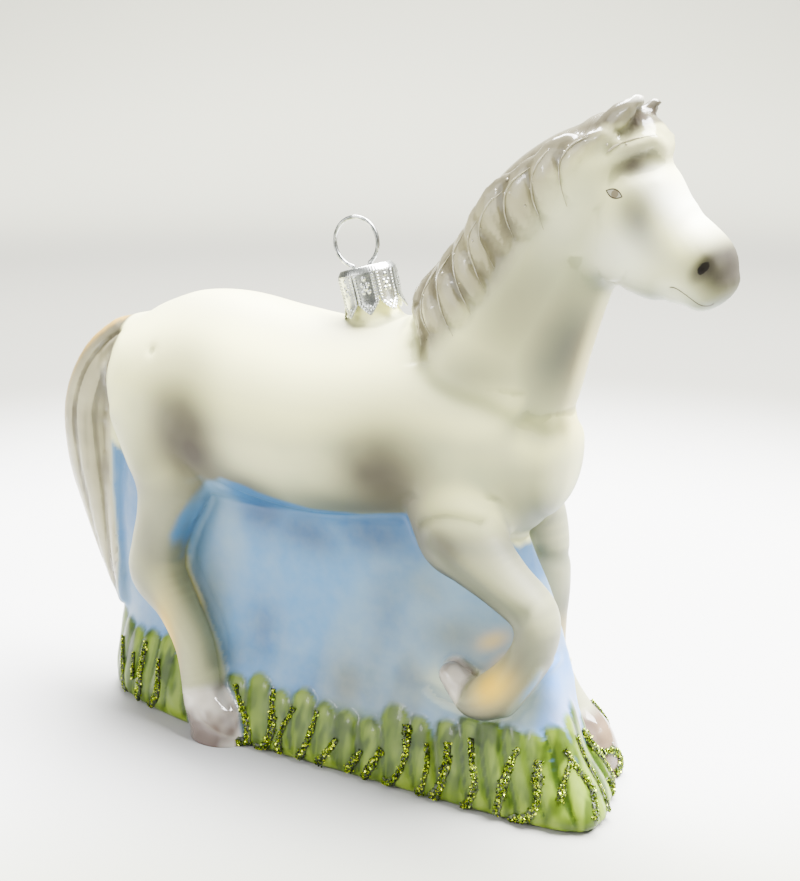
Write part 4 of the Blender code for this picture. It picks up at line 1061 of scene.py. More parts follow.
def paint_fields(points, field):
    """How strongly each airbrushed colour, each painted highlight and each painted shade lies at each vertex,
    from 0 to 1.
    """
    place = points[:, (0, 2)]
    side = np.abs(points[:, 1])
    x, y, z = points.T
    legs = field["legs"]
    grass = field["grass"] * ramp(z, *GRASS_RISE)
    paint = {"sky": sky_field(points, field), "grass": grass, "blade": field["blades"]}
    paint.update(hair_fields(x, z, field))
    # Painted highlights and painted shade, and the sky's deep and hazy brush patches.
    for name, spots in (("pearl", HIGHLIGHT_SPOTS), ("dim", SHADE_SPOTS), ("deep", DEEP_PATCHES),
                        ("hazy", HAZY_PATCHES)):
        paint[name] = strongest(place, spots)
    # Painted shade over the legs, a little stronger on the forelegs.
    on_legs = (0.92 + 0.08 * (x > 0)) * ramp(legs, 1.2, -0.4) * ramp(z, 58, 48)
    paint["dim"] = np.maximum(paint["dim"], on_legs) * ramp(side, 1.0, 4.0)
    paint["amber"] = strongest(place, AMBER_SPOTS) * (1 - grass) * (1 - 0.7 * ramp(z, 45, 38) * (y > 0))
    # Grey airbrushed smoke on the flank and elbow, and painted shade on legs, neck, face, under the fringe,
    # over the ear and in the near ear's hollow.
    smoke = np.zeros(len(points))
    for *shape, strength in SMOKE_AND_SHADE_SPOTS:
        smoke = np.maximum(smoke, strength * ramp(spot(place, *shape), -0.1, 1.0))
    smoke = smoke * ramp(side, 1.5, 6.0)
    paint["smoke"] = np.maximum(smoke, spot(place, *EAR_SHADE) * ramp(side, 0.8, 2.4))
    paint["muzzle"] = ramp(spot(place, *MUZZLE_SPOT), 0.22, 0.95)
    paint["hoof"] = hoof_field(points, legs)
    paint["pooled"] = crease_shade_field(place, side)
    return paint


def neighbour_mean(thing, values, rounds):
    """Values per vertex averaged again and again with their neighbours along the edges."""
    mesh = thing.data
    ends = np.zeros(len(mesh.edges) * 2, dtype=np.int32)
    mesh.edges.foreach_get("vertices", ends)
    first, second = ends.reshape(-1, 2).T
    count = len(mesh.vertices)
    degree = np.bincount(first, minlength=count) + np.bincount(second, minlength=count)
    mean = np.array(values, dtype=float)
    for _ in range(rounds):
        for column in mean.T:
            total = (np.bincount(first, column[second], minlength=count)
                     + np.bincount(second, column[first], minlength=count))
            column[:] = 0.5 * column + 0.5 * total / degree
    return mean


def build_glass():
    """The whole blown body: fused shapes, the mould's relief, a level foot and the paint's fields.
    The field lit tells how far the broad form faces upwards, and fold how hollow (above a half) or
    ridged (below a half) the surface is; the paint reads both for painted light and painted shade."""
    glass = fused_glass()
    points = drawn_points(glass)
    height, _ = relief(points)
    normals = vertex_normals(glass)
    facing = unit(neighbour_mean(glass, normals, FACING_ROUNDS))
    put_points(glass, points + normals * height[:, None])
    points, normals = drawn_points(glass), vertex_normals(glass)
    hollow = ((neighbour_mean(glass, points, HOLLOW_ROUNDS) - points) * normals).sum(axis=1)
    # lit and fold drive painted light and shade: lighter facing up, darker facing down, shade in hollows,
    # highlights on ridges.
    keep(glass, "lit", 0.5 + 0.5 * facing[:, 2])
    keep(glass, "fold", np.clip(0.5 + hollow / HOLLOW_DEPTH, 0, 1))
    level_foot(glass)
    points = drawn_points(glass)
    _, field = relief(points)
    for name, values in paint_fields(points, field).items():
        keep(glass, name, np.clip(values, 0, 1))
    glass.data.shade_smooth()
    return glass


# ---- cap and hanger ------------------------------------------------------------------------------
def bead(u, v, places, radius):
    """Height of round beads on a sheet: sqrt(1 - (distance / radius)^2) * radius round each place."""
    height = np.zeros(np.broadcast(u, v).shape)
    for place_u, place_v, size in places:
        level = 1 - ((u - place_u) ** 2 + (v - place_v) ** 2) / (radius * size) ** 2
        height = np.maximum(height, radius * size * np.sqrt(np.clip(level, 0, 1)))
    return height


def petal_beads():
    """Where one petal is embossed, as (across, down, size): rows of small beads along both edges and
    the point, a cluster in its middle, and single beads above and below the cluster."""
    edge = CAP_PETAL_HALF - BEAD_INSET
    shoulder = CAP_HEIGHT - CAP_POINT
    rows = np.arange(CAP_CHAMFER + 0.5, shoulder, BEAD_STEP)
    beads = [(side * edge, v, 1.0) for v in rows for side in (-1, 1)]
    for share in (0.0, 0.25, 0.5, 0.75):
        beads += [(side * edge * (1 - share), shoulder + share * (CAP_POINT - 0.5), 1.0) for side in (-1, 1)]
    beads += [(0, CAP_HEIGHT - 0.52, 1.0), (0, CAP_HEIGHT - 1.5, 1.25), (0, CAP_CHAMFER + 0.95, 1.35)]
    beads += [(0, 3.9, 1.7), (-0.52, 3.25, 1.2), (0.52, 3.25, 1.2), (-0.52, 4.55, 1.2), (0.52, 4.55, 1.2)]
    return beads


def wall_of(outer, thickness):
    """Points and faces of a thin sheet: the outer grid, an inner grid moved towards the axis, and
    the strip that joins their edges."""
    rows, columns = outer.shape[:2]
    axis = outer.copy()
    axis[..., 2] = 0
    inner = outer - unit(axis) * thickness
    quads = grid_faces(rows, columns, wrap=False)
    rim = np.concatenate((np.arange(columns), np.arange(1, rows) * columns + columns - 1,
                          np.arange(rows * columns - 2, (rows - 1) * columns - 1, -1),
                          np.arange(rows - 2, 0, -1) * columns))
    after = np.roll(rim, -1)
    count = rows * columns
    joined = np.stack((rim, rim + count, after + count, after), -1)
    points = np.concatenate((outer.reshape(-1, 3), inner.reshape(-1, 3)))
    return points, np.concatenate((quads, quads[:, ::-1] + count, joined)).tolist()


def cap_petals():
    """Eight embossed petals: a sheet over (u across, v down) bent round the cap's axis, with its
    lower edge cut to a point, and beads raised on it."""
    across = np.linspace(-1, 1, PETAL_COLUMNS)
    hem = CAP_HEIGHT - CAP_POINT * np.abs(across) ** 1.15
    v = CAP_CHAMFER + np.linspace(0, 1, PETAL_ROWS)[:, None] * (hem - CAP_CHAMFER)[None, :]
    u = np.broadcast_to(across[None, :] * CAP_PETAL_HALF, v.shape)
    edge = np.minimum(CAP_PETAL_HALF - np.abs(u), hem[None, :] - v)
    lift = 0.55 * bead(u, v, petal_beads(), BEAD_RADIUS) + 0.10 * np.exp(-(edge / 0.10) ** 2)
    waist = 0.10 * np.sin((v - CAP_CHAMFER) / (CAP_HEIGHT - CAP_CHAMFER) * math.pi)
    flare = 0.45 * ramp(v, CAP_HEIGHT - CAP_FLARE, CAP_HEIGHT) ** 2 - waist
    shapes = []
    for petal in range(CAP_PETALS):
        turn = (petal + 0.5) * 2 * math.pi / CAP_PETALS
        angle = turn + u / CAP_RADIUS
        radius = CAP_RADIUS + lift + flare + 0.06 * math.sin(petal * 2.4)
        grid = np.stack((radius * np.cos(angle), radius * np.sin(angle), -v), -1)
        points, faces = wall_of(grid[::-1], CAP_SHEET)
        shapes.append((on_cap(points), faces))
    return shapes


def cap_top():
    """The cap's top: a profile of the inner sleeve, the chamfer, the raised rim and the sunken disc,
    carried round the axis, with a ring of beads on the disc and a dent round each wire hole."""
    sleeve, disc = CAP_RADIUS, CAP_DISC_RADIUS
    profile = smooth_rows((
        (sleeve - 0.28, -6.0), (sleeve - 0.24, -3.6), (sleeve - 0.1, -CAP_CHAMFER - 0.25),
        (sleeve - 0.02, -CAP_CHAMFER + 0.1), (disc + 0.35, -0.28), (disc, 0.0), (disc - 0.35, -0.06),
        (disc - 0.6, -0.3), (disc - 1.3, -0.34), (disc * 0.55, -0.3), (disc * 0.3, -0.24), (0.05, -0.22)), 4)
    turns = np.linspace(0, 2 * math.pi, DISC_SIDES, endpoint=False)
    radius, height = profile[:, 0:1], profile[:, 1:2]
    x, y = radius * np.cos(turns), radius * np.sin(turns)
    ring = [(DISC_BEAD_RING * math.cos(a), DISC_BEAD_RING * math.sin(a), 1.0)
            for a in np.linspace(0, 2 * math.pi, DISC_BEADS, endpoint=False)]
    lift = 0.6 * bead(x, y, ring, DISC_BEAD_RADIUS)
    for side in (-1, 1):
        hole = LOOP_CENTRE[0] + side * LOOP_SPREAD
        lift -= 0.25 * np.exp(-((x - hole) ** 2 + y ** 2) / 0.35 ** 2)
    lift = np.where(radius < disc - DISC_EDGE, lift, 0)
    ribs = 0.05 * np.cos(turns * SLEEVE_RIBS) * ramp(radius, disc, disc + DISC_EDGE)
    ribs = ribs * ramp(-height, CAP_CHAMFER + 0.3, CAP_CHAMFER - 0.2)
    wider = 1 + ribs / radius
    points, faces = closed_loft(np.stack((x * wider, y * wider, height + lift), -1))
    return on_cap(points), faces


def tube(path, radius, sides=16):
    """A round profile carried along a path in space, turned as little as possible from ring to
    ring, with its ends closed."""
    along = unit(np.gradient(path, axis=0))
    across = unit(np.array((0.0, 1.0, 0.0)) - along * along[:, 1:2])
    upward = np.cross(along, across)
    turns = np.linspace(0, 2 * math.pi, sides, endpoint=False)
    radius = np.broadcast_to(radius, len(path))[:, None, None]
    grid = (path[:, None, :] + radius * (across[:, None, :] * np.cos(turns)[None, :, None]
                                         + upward[:, None, :] * np.sin(turns)[None, :, None]))
    return closed_loft(grid)


def build_hanger():
    """The wire hanger: legs that spring inside the spout and a round loop above the cap."""
    opening = math.asin(LOOP_SPREAD / LOOP_RADIUS)
    turns = np.linspace(-math.pi / 2 + opening, 1.5 * math.pi - opening, 120)
    ring = LOOP_RADIUS * np.stack((np.cos(turns), np.sin(turns)), -1)
    loop = ring + LOOP_CENTRE
    legs = {}
    for side in (-1, 1):
        x = LOOP_CENTRE[0] + side * LOOP_SPREAD
        legs[side] = [(x + side * 0.15, -6.5), (x + side * 0.09, -3.0), (x, -0.9), (x, -0.2)]
    route = np.array(legs[1] + loop.tolist() + legs[-1][::-1])
    route = smooth_rows(route, 3)
    path = np.stack((route[:, 0], np.zeros(len(route)), route[:, 1]), -1)
    points, faces = tube(path, WIRE_RADIUS)
    hanger = mesh_object("wire_loop", [(on_cap(points), faces)])
    hanger.data.shade_smooth()
    return hanger


# ---- lacquer runs --------------------------------------------------------------------------------
def skin_tree(thing):
    """The glass as a tree of faces that lines can be sent against."""
    mesh = thing.data
    corners = [tuple(face.vertices) for face in mesh.polygons]
    return BVHTree.FromPolygons([vert.co for vert in mesh.vertices], corners)


def first_hit(tree, start, direction):
    """Where a line from a drawn place first meets the glass, and the normal there, or None."""
    placed = Vector(((start[0] - DRAWN_MIDDLE) * MM, start[1] * MM, start[2] * MM))
    place, normal, _, _ = tree.ray_cast(placed, Vector(direction))
    if place is None:
        return None
    return np.array(place) / MM + (DRAWN_MIDDLE, 0, 0), np.array(normal)


def from_side(tree, x, z, side):
    """Where a level line from one side meets the glass at a place of the side view."""
    return first_hit(tree, (x, side * CLEAR_OF_GLASS, z), (0, -side, 0))


def run_paths():
    """The mane's lines on both sides and the edge of the forelock, as (path, side)."""
    near = [(path, NEAR) for path in MANE_LINES[1:-1]]
    places = [np.array(lock[:-1]) for lock in FAR_LOCKS]
    behind = [(one + two) / 2 for one, two in zip(places, places[1:])]
    return near + [(path, FAR) for path in behind] + [(FRINGE_LINE, NEAR), (FRINGE_LINE, FAR)]


def build_runs(tree):
    """Thin runs of lacquer in the mane's creases, which swell and shrink along their length, and
    small drops beside them: round profiles half sunk in the glass."""
    random = np.random.default_rng(31)
    shapes = []
    for path, side in run_paths():
        found = [from_side(tree, x, z, side) for x, z in resampled(path, RUN_PLACES)]
        found = [hit for hit in found if hit is not None]
        spots = np.array([hit[0] for hit in found])
        normals = unit(np.array([hit[1] for hit in found]))
        steps = np.linalg.norm(np.diff(spots, axis=0), axis=1)
        jumps = np.flatnonzero(steps > RUN_JUMP)
        keep_to = int(jumps[0]) + 1 if len(jumps) else len(spots)
        if keep_to < RUN_SHORTEST:
            continue
        spots = neighbour_line(spots[:keep_to])
        share = np.linspace(0, 1, keep_to)
        wobble = np.interp(share, np.linspace(0, 1, 14), random.uniform(0.55, 1.3, 14))
        radius = RUN_RADIUS * wobble * ramp(share, -0.02, 0.12) * ramp(share, 1.0, 0.55)
        points, faces = tube(spots + normals[:keep_to] * 0.06, np.maximum(radius, 0.03), sides=8)
        shapes.append((points, faces))
        for _ in range(RUN_DROPS):
            index = random.integers(0, int(keep_to * 0.7))
            centre = spots[index] + random.normal(size=3) * (0.5, 0.1, 0.5)
            hit = from_side(tree, centre[0], centre[2], side)
            if hit is not None:
                shapes.append(drop(hit[0], random.uniform(0.12, 0.26)))
    runs = mesh_object("lacquer_runs", shapes)
    runs.data.shade_smooth()
    return runs


def neighbour_line(points):
    """A path whose inner points are averaged with their neighbours three times."""
    smooth = points.copy()
    for _ in range(3):
        smooth[1:-1] = (smooth[:-2] + 2 * smooth[1:-1] + smooth[2:]) / 4
    return smooth


def drop(centre, radius):
    """A small ball: rings of radius sin(a) at heights -cos(a)."""
    down = (math.pi * (np.arange(6) + 0.5) / 6)[:, None]
    turns = np.linspace(0, 2 * math.pi, 10, endpoint=False)
    across, beside = np.sin(down) * np.cos(turns), np.sin(down) * np.sin(turns)
    grid = np.stack((across, beside, np.broadcast_to(-np.cos(down), across.shape)), -1)
    return closed_loft(centre + grid * radius)


# ---- glitter -------------------------------------------------------------------------------------
def on_base(tree, along, height, side):
    """Where a level line towards the middle of the base meets the glass, and the normal there."""
    plan, length = base_outline(side)
    x, y = (np.interp(along, length, column) for column in plan.T)
    ahead, before = (np.array([np.interp(along + step, length, column) for column in plan.T])
                     for step in (1, -1))
    tangent = unit(ahead - before)
    outward = np.array((tangent[1], -tangent[0])) * -side
    start = (x + outward[0] * CLEAR_OF_BASE, y + outward[1] * CLEAR_OF_BASE, height)
    return first_hit(tree, start, (-outward[0], -outward[1], 0))


def glue_lines(tree):
    """Every glitter stroke as a path on the glass with its normals and half widths."""
    random = np.random.default_rng(21)
    lines = []
    for side, strokes in ((NEAR, NEAR_STROKES), (FAR, far_strokes())):
        for stroke in strokes:
            rows = smooth_rows(stroke, 6)
            found = [(on_base(tree, a, h, side), w) for a, h, w in rows if h > 0.25]
            found = [(hit[0], hit[1], w) for hit, w in found if hit is not None]
            if len(found) < 4:
                continue
            path, normal, wide = (np.array(column) for column in zip(*found))
            wide = wide * (1 + 0.18 * random.normal(size=len(found)))
            lines.append((path, unit(normal), np.clip(wide, 0.3, 2.0)))
    return lines


def far_strokes():
    """Strokes on the far side, drawn by the same hand: wavy lines with a hooked foot."""
    random = np.random.default_rng(5)
    strokes = []
    for foot in np.linspace(*FAR_STROKE_ENDS, FAR_STROKE_COUNT):
        foot = foot + random.uniform(-1.2, 1.2)
        lean = random.uniform(-1.6, 1.6)
        hook = random.choice((-1.6, 1.6))
        top = random.uniform(9.5, 13.5)
        strokes.append(((foot + lean, top, 0.45), (foot + lean * 0.4 + 0.5, top * 0.66, 0.7),
                        (foot, top * 0.34, 0.8), (foot + hook * 0.3, 1.8, 0.9), (foot + hook, 0.8, 0.8)))
    return strokes


def glue_rise(wide):
    """How high the glue stands where its half width is wide."""
    return GLUE_RISE[0] + GLUE_RISE[1] * wide


def build_glue(lines):
    """A low rounded bead of dark glue along each stroke: a half-sunk ellipse carried along it."""
    turns = np.linspace(0, 2 * math.pi, GLUE_SIDES, endpoint=False)
    shapes = []
    for path, normal, wide in lines:
        along = unit(np.gradient(path, axis=0))
        across = unit(np.cross(normal, along)) * wide[:, None]
        upward = normal * glue_rise(wide)[:, None]
        grid = (path[:, None, :] + across[:, None, :] * np.cos(turns)[None, :, None]
                + upward[:, None, :] * np.sin(turns)[None, :, None])
        points, faces = closed_loft(grid)
        points[:, 2] = np.maximum(points[:, 2], 0.05)
        shapes.append((points, faces))
    glue = mesh_object("glitter_glue", shapes)
    glue.data.shade_smooth()
    return glue


def strew(lines, random):
    """Places and normals of the flakes: along each stroke evenly, and across it as a bell curve."""
    centres, normals = [], []
    for path, normal, wide in lines:
        length = np.concatenate(((0,), np.cumsum(np.linalg.norm(np.diff(path, axis=0), axis=1))))
        count = int(FLAKES_PER_MM * length[-1] * wide.mean() / 0.7)
        at = random.uniform(-0.02, 1.02, count) * length[-1]
        along = unit(np.gradient(path, axis=0))
        middle, up, ahead = (np.stack([np.interp(at, length, column) for column in rows.T], -1)
                             for rows in (path, normal, along))
        up = unit(up)
        across = unit(np.cross(up, ahead))
        half = np.interp(at, length, wide)
        spread = np.clip(random.normal(size=count) * 0.52, -1.35, 1.35)
        dome = np.sqrt(np.clip(1 - spread ** 2, 0, 1))
        rise = 0.10 + glue_rise(half) * dome * 0.9
        centres.append(middle + across * (spread * half)[:, None] + up * rise[:, None])
        normals.append(unit(up + across * (spread * 0.6)[:, None] + random.normal(size=(count, 3)) * 0.55))
    return np.concatenate(centres), np.concatenate(normals)


def build_flakes(lines):
    """Glitter flakes strewn over the glue: small closed five-sided plates, each turned its own way."""
    random = np.random.default_rng(11)
    centres, normals = strew(lines, random)
    centres[:, 2] = np.maximum(centres[:, 2], 0.3)
    count = len(centres)
    side_way = unit(np.cross(normals, random.normal(size=(count, 3))))[:, None, :]
    other_way = np.cross(normals, side_way[:, 0])[:, None, :]
    size = random.uniform(*FLAKE_SIZES, count)[:, None, None]
    turns = (np.arange(FLAKE_CORNERS) * 2 * math.pi / FLAKE_CORNERS)[None, :, None]
    rim = (side_way * np.cos(turns) + other_way * np.sin(turns)) * size
    thick = normals[:, None, :] * FLAKE_HALF_THICKNESS
    points = np.concatenate((centres[:, None, :] + rim + thick, centres[:, None, :] + rim - thick), 1)
    first = (np.arange(count) * 2 * FLAKE_CORNERS)[:, None]
    top = first + np.arange(FLAKE_CORNERS)
    low = top + FLAKE_CORNERS
    walls = np.stack((top, low, np.roll(low, -1, axis=1), np.roll(top, -1, axis=1)), -1)
    faces = top.tolist() + low[:, ::-1].tolist() + walls.reshape(-1, 4).tolist()
    flakes = mesh_object("glitter_flakes", [(points.reshape(-1, 3), faces)])
    keep(flakes, "tint", np.repeat(random.uniform(0, 1, count), 2 * FLAKE_CORNERS))
    return flakes


# ---- finishes ------------------------------------------------------------------------------------
class Value:
    """A number that varies over a surface. An operator on it adds a Math node."""

    def __init__(self, finish, socket):
        self.finish, self.socket = finish, socket

    def math(self, operation, *others):
        return self.finish.math(operation, self, *others)

    def __add__(self, other):
        return self.math("ADD", other)

    def __sub__(self, other):
        return self.math("SUBTRACT", other)

    def __rsub__(self, other):
        return self.finish.math("SUBTRACT", other, self)

    def __mul__(self, other):
        return self.math("MULTIPLY", other)

    def __truediv__(self, other):
        return self.math("DIVIDE", other)

    def __pow__(self, other):
        return self.math("POWER", other)

    def __abs__(self):
        return self.math("ABSOLUTE")

    __radd__ = __add__
    __rmul__ = __mul__

    def least(self, other):
        return self.math("MINIMUM", other)

    def most(self, other):
        return self.math("MAXIMUM", other)

    def step(self, low, high):
        """0 at low, 1 at high, smooth between."""
        node = self.finish.node("ShaderNodeMapRange", {"interpolation_type": "SMOOTHSTEP"},
                                {"Value": self, "From Min": low, "From Max": high})
        return Value(self.finish, node.outputs[0])


class Finish:
    """A material being made, and the ways to add nodes to it."""

    def __init__(self, name):
        self.material = bpy.data.materials.new(name)
        self.material.use_nodes = True
        self.tree = self.material.node_tree
        self.shader = self.tree.nodes["Principled BSDF"]

    def feed(self, socket, value):
        """Link a varying value to a socket, or set a fixed one."""
        if isinstance(value, Value):
            value = value.socket
        if isinstance(value, bpy.types.NodeSocket):
            self.tree.links.new(value, socket)
        elif isinstance(value, tuple) and len(value) == 3 and socket.type == "RGBA":
            socket.default_value = (*value, 1.0)
        else:
            socket.default_value = value

    def node(self, kind, settings=None, inputs=None):
        """Any node: its settings first, then the values or links of its sockets."""
        node = self.tree.nodes.new(kind)
        for name, value in (settings or {}).items():
            setattr(node, name, value)
        for name, value in (inputs or {}).items():
            self.feed(node.inputs[name], value)
        return node

    def math(self, operation, *values):
        node = self.node("ShaderNodeMath", {"operation": operation}, dict(enumerate(values)))
        return Value(self, node.outputs[0])

    def field(self, name):
        """A number stored on the piece's vertices."""
        return Value(self, self.node("ShaderNodeAttribute", {"attribute_name": name}).outputs["Fac"])

    def place(self):
        """Object coordinates."""
        return self.node("ShaderNodeTexCoord").outputs["Object"]

    def millimetres(self, at):
        """The three parts of Object coordinates, in millimetres as the shapes are drawn."""
        parts = self.node("ShaderNodeSeparateXYZ", None, {0: at})
        x, y, z = (Value(self, parts.outputs[i]) * PER_METRE for i in range(3))
        return x + DRAWN_MIDDLE, y, z

    def noise(self, at, size, detail=2.0, stretch=(1.0, 1.0, 1.0)):
        """Soft noise whose grain is about size millimetres."""
        mapped = self.node("ShaderNodeMapping", None, {"Vector": at, "Scale": stretch})
        node = self.node("ShaderNodeTexNoise", None, {"Vector": mapped.outputs[0], "Scale": PER_METRE / size,
                                                      "Detail": detail, "Roughness": 0.5})
        return Value(self, node.outputs[0])

    def cells(self, at, size):
        """Distance to the nearest cell's middle, and a random number for each cell."""
        node = self.node("ShaderNodeTexVoronoi", None, {"Vector": at, "Scale": PER_METRE / size})
        chance = self.node("ShaderNodeSeparateColor", None, {0: node.outputs["Color"]})
        return Value(self, node.outputs["Distance"]), Value(self, chance.outputs[0])

    def mix(self, share, first, second, blend="MIX"):
        """A colour between two colours."""
        node = self.node("ShaderNodeMix", {"data_type": "RGBA", "blend_type": blend})
        for socket, value in zip((node.inputs[0], node.inputs[6], node.inputs[7]), (share, first, second)):
            self.feed(socket, value)
        return node.outputs[2]

    def bump(self, height, distance, strength, normal=None):
        """The normal of a surface with this height, which is distance mm where it is 1."""
        inputs = {"Height": height, "Distance": distance * MM, "Strength": strength}
        if normal is not None:
            inputs["Normal"] = normal
        return self.node("ShaderNodeBump", None, inputs).outputs[0]

    def finish(self, **sockets):
        """Feed the shader's sockets by name, and hand over the material."""
        for name, value in sockets.items():
            self.feed(self.shader.inputs[name.replace("_", " ")], value)
        return self.material


def uneven(share, cloud, low, swing):
    """A share of paint that the clouds vary from low to low + swing of itself."""
    return (share * (low + swing * cloud)).least(1.0)


def ivory_tone(paint, field, cloud, hollow):
    """Frosted white ivory, painted lighter where it faces up and darker where it faces down, with painted
    highlights, painted shade, painted shade in hollows and sunk lines, and the grey muzzle.
    """
    colour = paint.mix(cloud.step(0.4, 0.8) * 0.6, IVORY_SIDE, IVORY_CLOUD)
    # Painted light and shade: lighter where the form faces up, darker where it faces down.
    for reach, tone in ((LIT_TOP, IVORY_LIT_TOP), (LIT_CREST, IVORY_LIT_CREST), (LIT_UNDER, IVORY_SHADED_UNDER)):
        colour = paint.mix(field["lit"].step(*reach), colour, tone)
    # Painted highlights, then painted shade.
    colour = paint.mix(field["pearl"], colour, HIGHLIGHT_WHITE)
    colour = paint.mix(field["dim"], colour, SHADE_TINT, "MULTIPLY")
    # Painted shade in the hollows and the sunk lines.
    colour = paint.mix((hollow * 0.45).most(field["pooled"] * 0.9), colour, CREASE_SHADE)
    return paint.mix(uneven(field["muzzle"], cloud, 0.9, 0.2), colour, MUZZLE)


def hair_tone(paint, at, y, field, hollow, ridge):
    """Warm grey lacquer with darker patches, darker on the far side, painted shade in the valleys and where
    it faces up, and painted highlights on the ridges.
    """
    tone = paint.mix(paint.noise(at, 8.0, 1.0).step(0.3, 0.65), HAIR_DARK, HAIR)
    # Painted shade in the valleys, painted highlights on the ridges.
    tone = paint.mix(hollow * 0.6, tone, HAIR_DARK)
    tone = paint.mix(ridge * 0.6, tone, HAIR_RIDGE_HIGHLIGHT)
    tone = paint.mix(y.step(-1.0, 3.0) * 0.6, tone, HAIR_DARK)
    # Painted shade where the hair faces up.
    return paint.mix(field["lit"].step(0.52, 0.85) * 0.85, tone, HAIR_SHADE)


def sky_tone(paint, at, x, z, field, cloud):
    """Brushed sky: deeper towards the top and the front, with deep, milky and hazy strokes, and a
    bright strip down the panel's front edge."""
    height = (z + 16.0 * (paint.noise(at, 20.0, 1.0) - 0.5)).step(34.0, 58.0)
    sky = paint.mix(height * (0.25 + 0.55 * x.step(-40.0, -5.0)), SKY_PALE, SKY_DEEP)
    deep = paint.noise(at, 20.0, 0.3, stretch=(1.0, 1.0, 0.4)).step(0.46, 0.66)
    sky = paint.mix(deep * 0.5, sky, SKY_DEEP)
    milk = paint.noise(at, 14.0, 0.6, stretch=(1.0, 1.0, 0.3)).step(0.42, 0.62)
    sky = paint.mix(milk * 0.7, sky, SKY_MILK)
    haze = paint.noise(at, 15.0, 1.0, stretch=(1.2, 1.0, 0.4)).step(0.56, 0.70) * z.step(34.0, 22.0)
    sky = paint.mix((haze * 0.55).most(field["hazy"]), sky, SKY_HAZE)
    sky = paint.mix(uneven(field["deep"], cloud, 0.5, 1.0), sky, SKY_DEEP)
    return paint.mix(x.step(*SKY_STRIP) * 0.85, sky, SKY_BRIGHT)


def grass_tone(paint, at, field, hollow, ridge):
    """Grass: yellow-green between the blades, streaked along them, with painted shade in the hollows and
    painted highlights on the ridges.
    """
    streak = paint.noise(at, 2.8, 1.0, stretch=(1.0, 1.0, 0.14))
    inside = (field["blade"] + 0.5 * (streak - 0.5)).step(0.45, 0.85)
    grass = paint.mix(inside, GRASS_YELLOW, GRASS)
    grass = paint.mix(streak.step(0.50, 0.62) * 0.9, grass, GRASS_DEEP)
    # Painted shade in the hollows, painted highlights on the ridges.
    grass = paint.mix(hollow * 0.8, grass, GRASS_DEEP)
    grass = paint.mix(ridge * (0.12 + 0.5 * streak.step(0.56, 0.4)), grass, GRASS_RIDGE_HIGHLIGHT)
    return paint.mix(paint.noise(at, 9.0, 2.0).step(0.5, 0.7) * 0.5, grass, GRASS_YELLOW)


def hoof_tone(paint, at, y, z):
    """Grey-brown lacquer with pearly places, more of them on the raised hoof."""
    pearly = paint.noise(at, 6.0, 1.0).step(0.36, 0.66).most(z.step(10.0, 16.0) * 0.5) * y.step(2.0, -2.0)
    return paint.mix(pearly, HOOF, HOOF_PEARL)


def paint_eye(paint, colour, x, z, aside):
    """A white almond, half height * (1 - (u / half length)^2), with a round iris and a thin rim."""
    dx, dz = x - EYE[0], z - EYE[1]
    u = dx * math.cos(EYE_TILT) - dz * math.sin(EYE_TILT)
    v = dx * math.sin(EYE_TILT) + dz * math.cos(EYE_TILT)
    outside = abs(v) - EYE_HALF_HEIGHT * (1.0 - (u / EYE_HALF_LENGTH) ** 2)
    near_eye = abs(u).step(EYE_HALF_LENGTH + 0.3, EYE_HALF_LENGTH + 0.1) * aside.step(1.2, 1.8)
    white = outside.step(0.02, -0.05) * near_eye
    colour = paint.mix(white, colour, EYE_WHITE)
    iris = ((u - IRIS_FORWARD) ** 2 + v ** 2) ** 0.5
    colour = paint.mix(iris.step(*IRIS_EDGE) * white, colour, IRIS)
    rim = abs(outside + 0.02).step(*BRUSH_LINE) * near_eye
    return paint.mix(rim, colour, BRUSH_BROWN)


def paint_muzzle(paint, at, colour, x, z, aside):
    """A dark nostril with a soft shade round it, and the mouth's thin curved line."""
    dx, dz = x - NOSTRIL[0], z - NOSTRIL[1]
    hole = (((dx - NOSTRIL_LEAN * dz) / NOSTRIL_WIDTH) ** 2 + dz ** 2) ** 0.5
    ragged = hole + 0.5 * (paint.noise(at, 0.8, 2.0) - 0.5)
    on_side = aside.step(1.8, 2.6)
    colour = paint.mix(hole.step(3.2, 0.8) * 0.75 * on_side, colour, MUZZLE_DARK)
    colour = paint.mix(ragged.step(1.10, 0.84) * on_side, colour, BLACK)
    run = x - LIP_START
    first, second, third = LIP_CUBIC
    lip = LIP_HEIGHT + first * run + second * run ** 2 + third * run ** 3
    line = abs(z - lip).step(0.17, 0.07) * run.step(-0.1, 0.3) * run.step(LIP_LENGTH, LIP_LENGTH - 0.4)
    return paint.mix(line * 0.9, colour, BRUSH_BROWN)


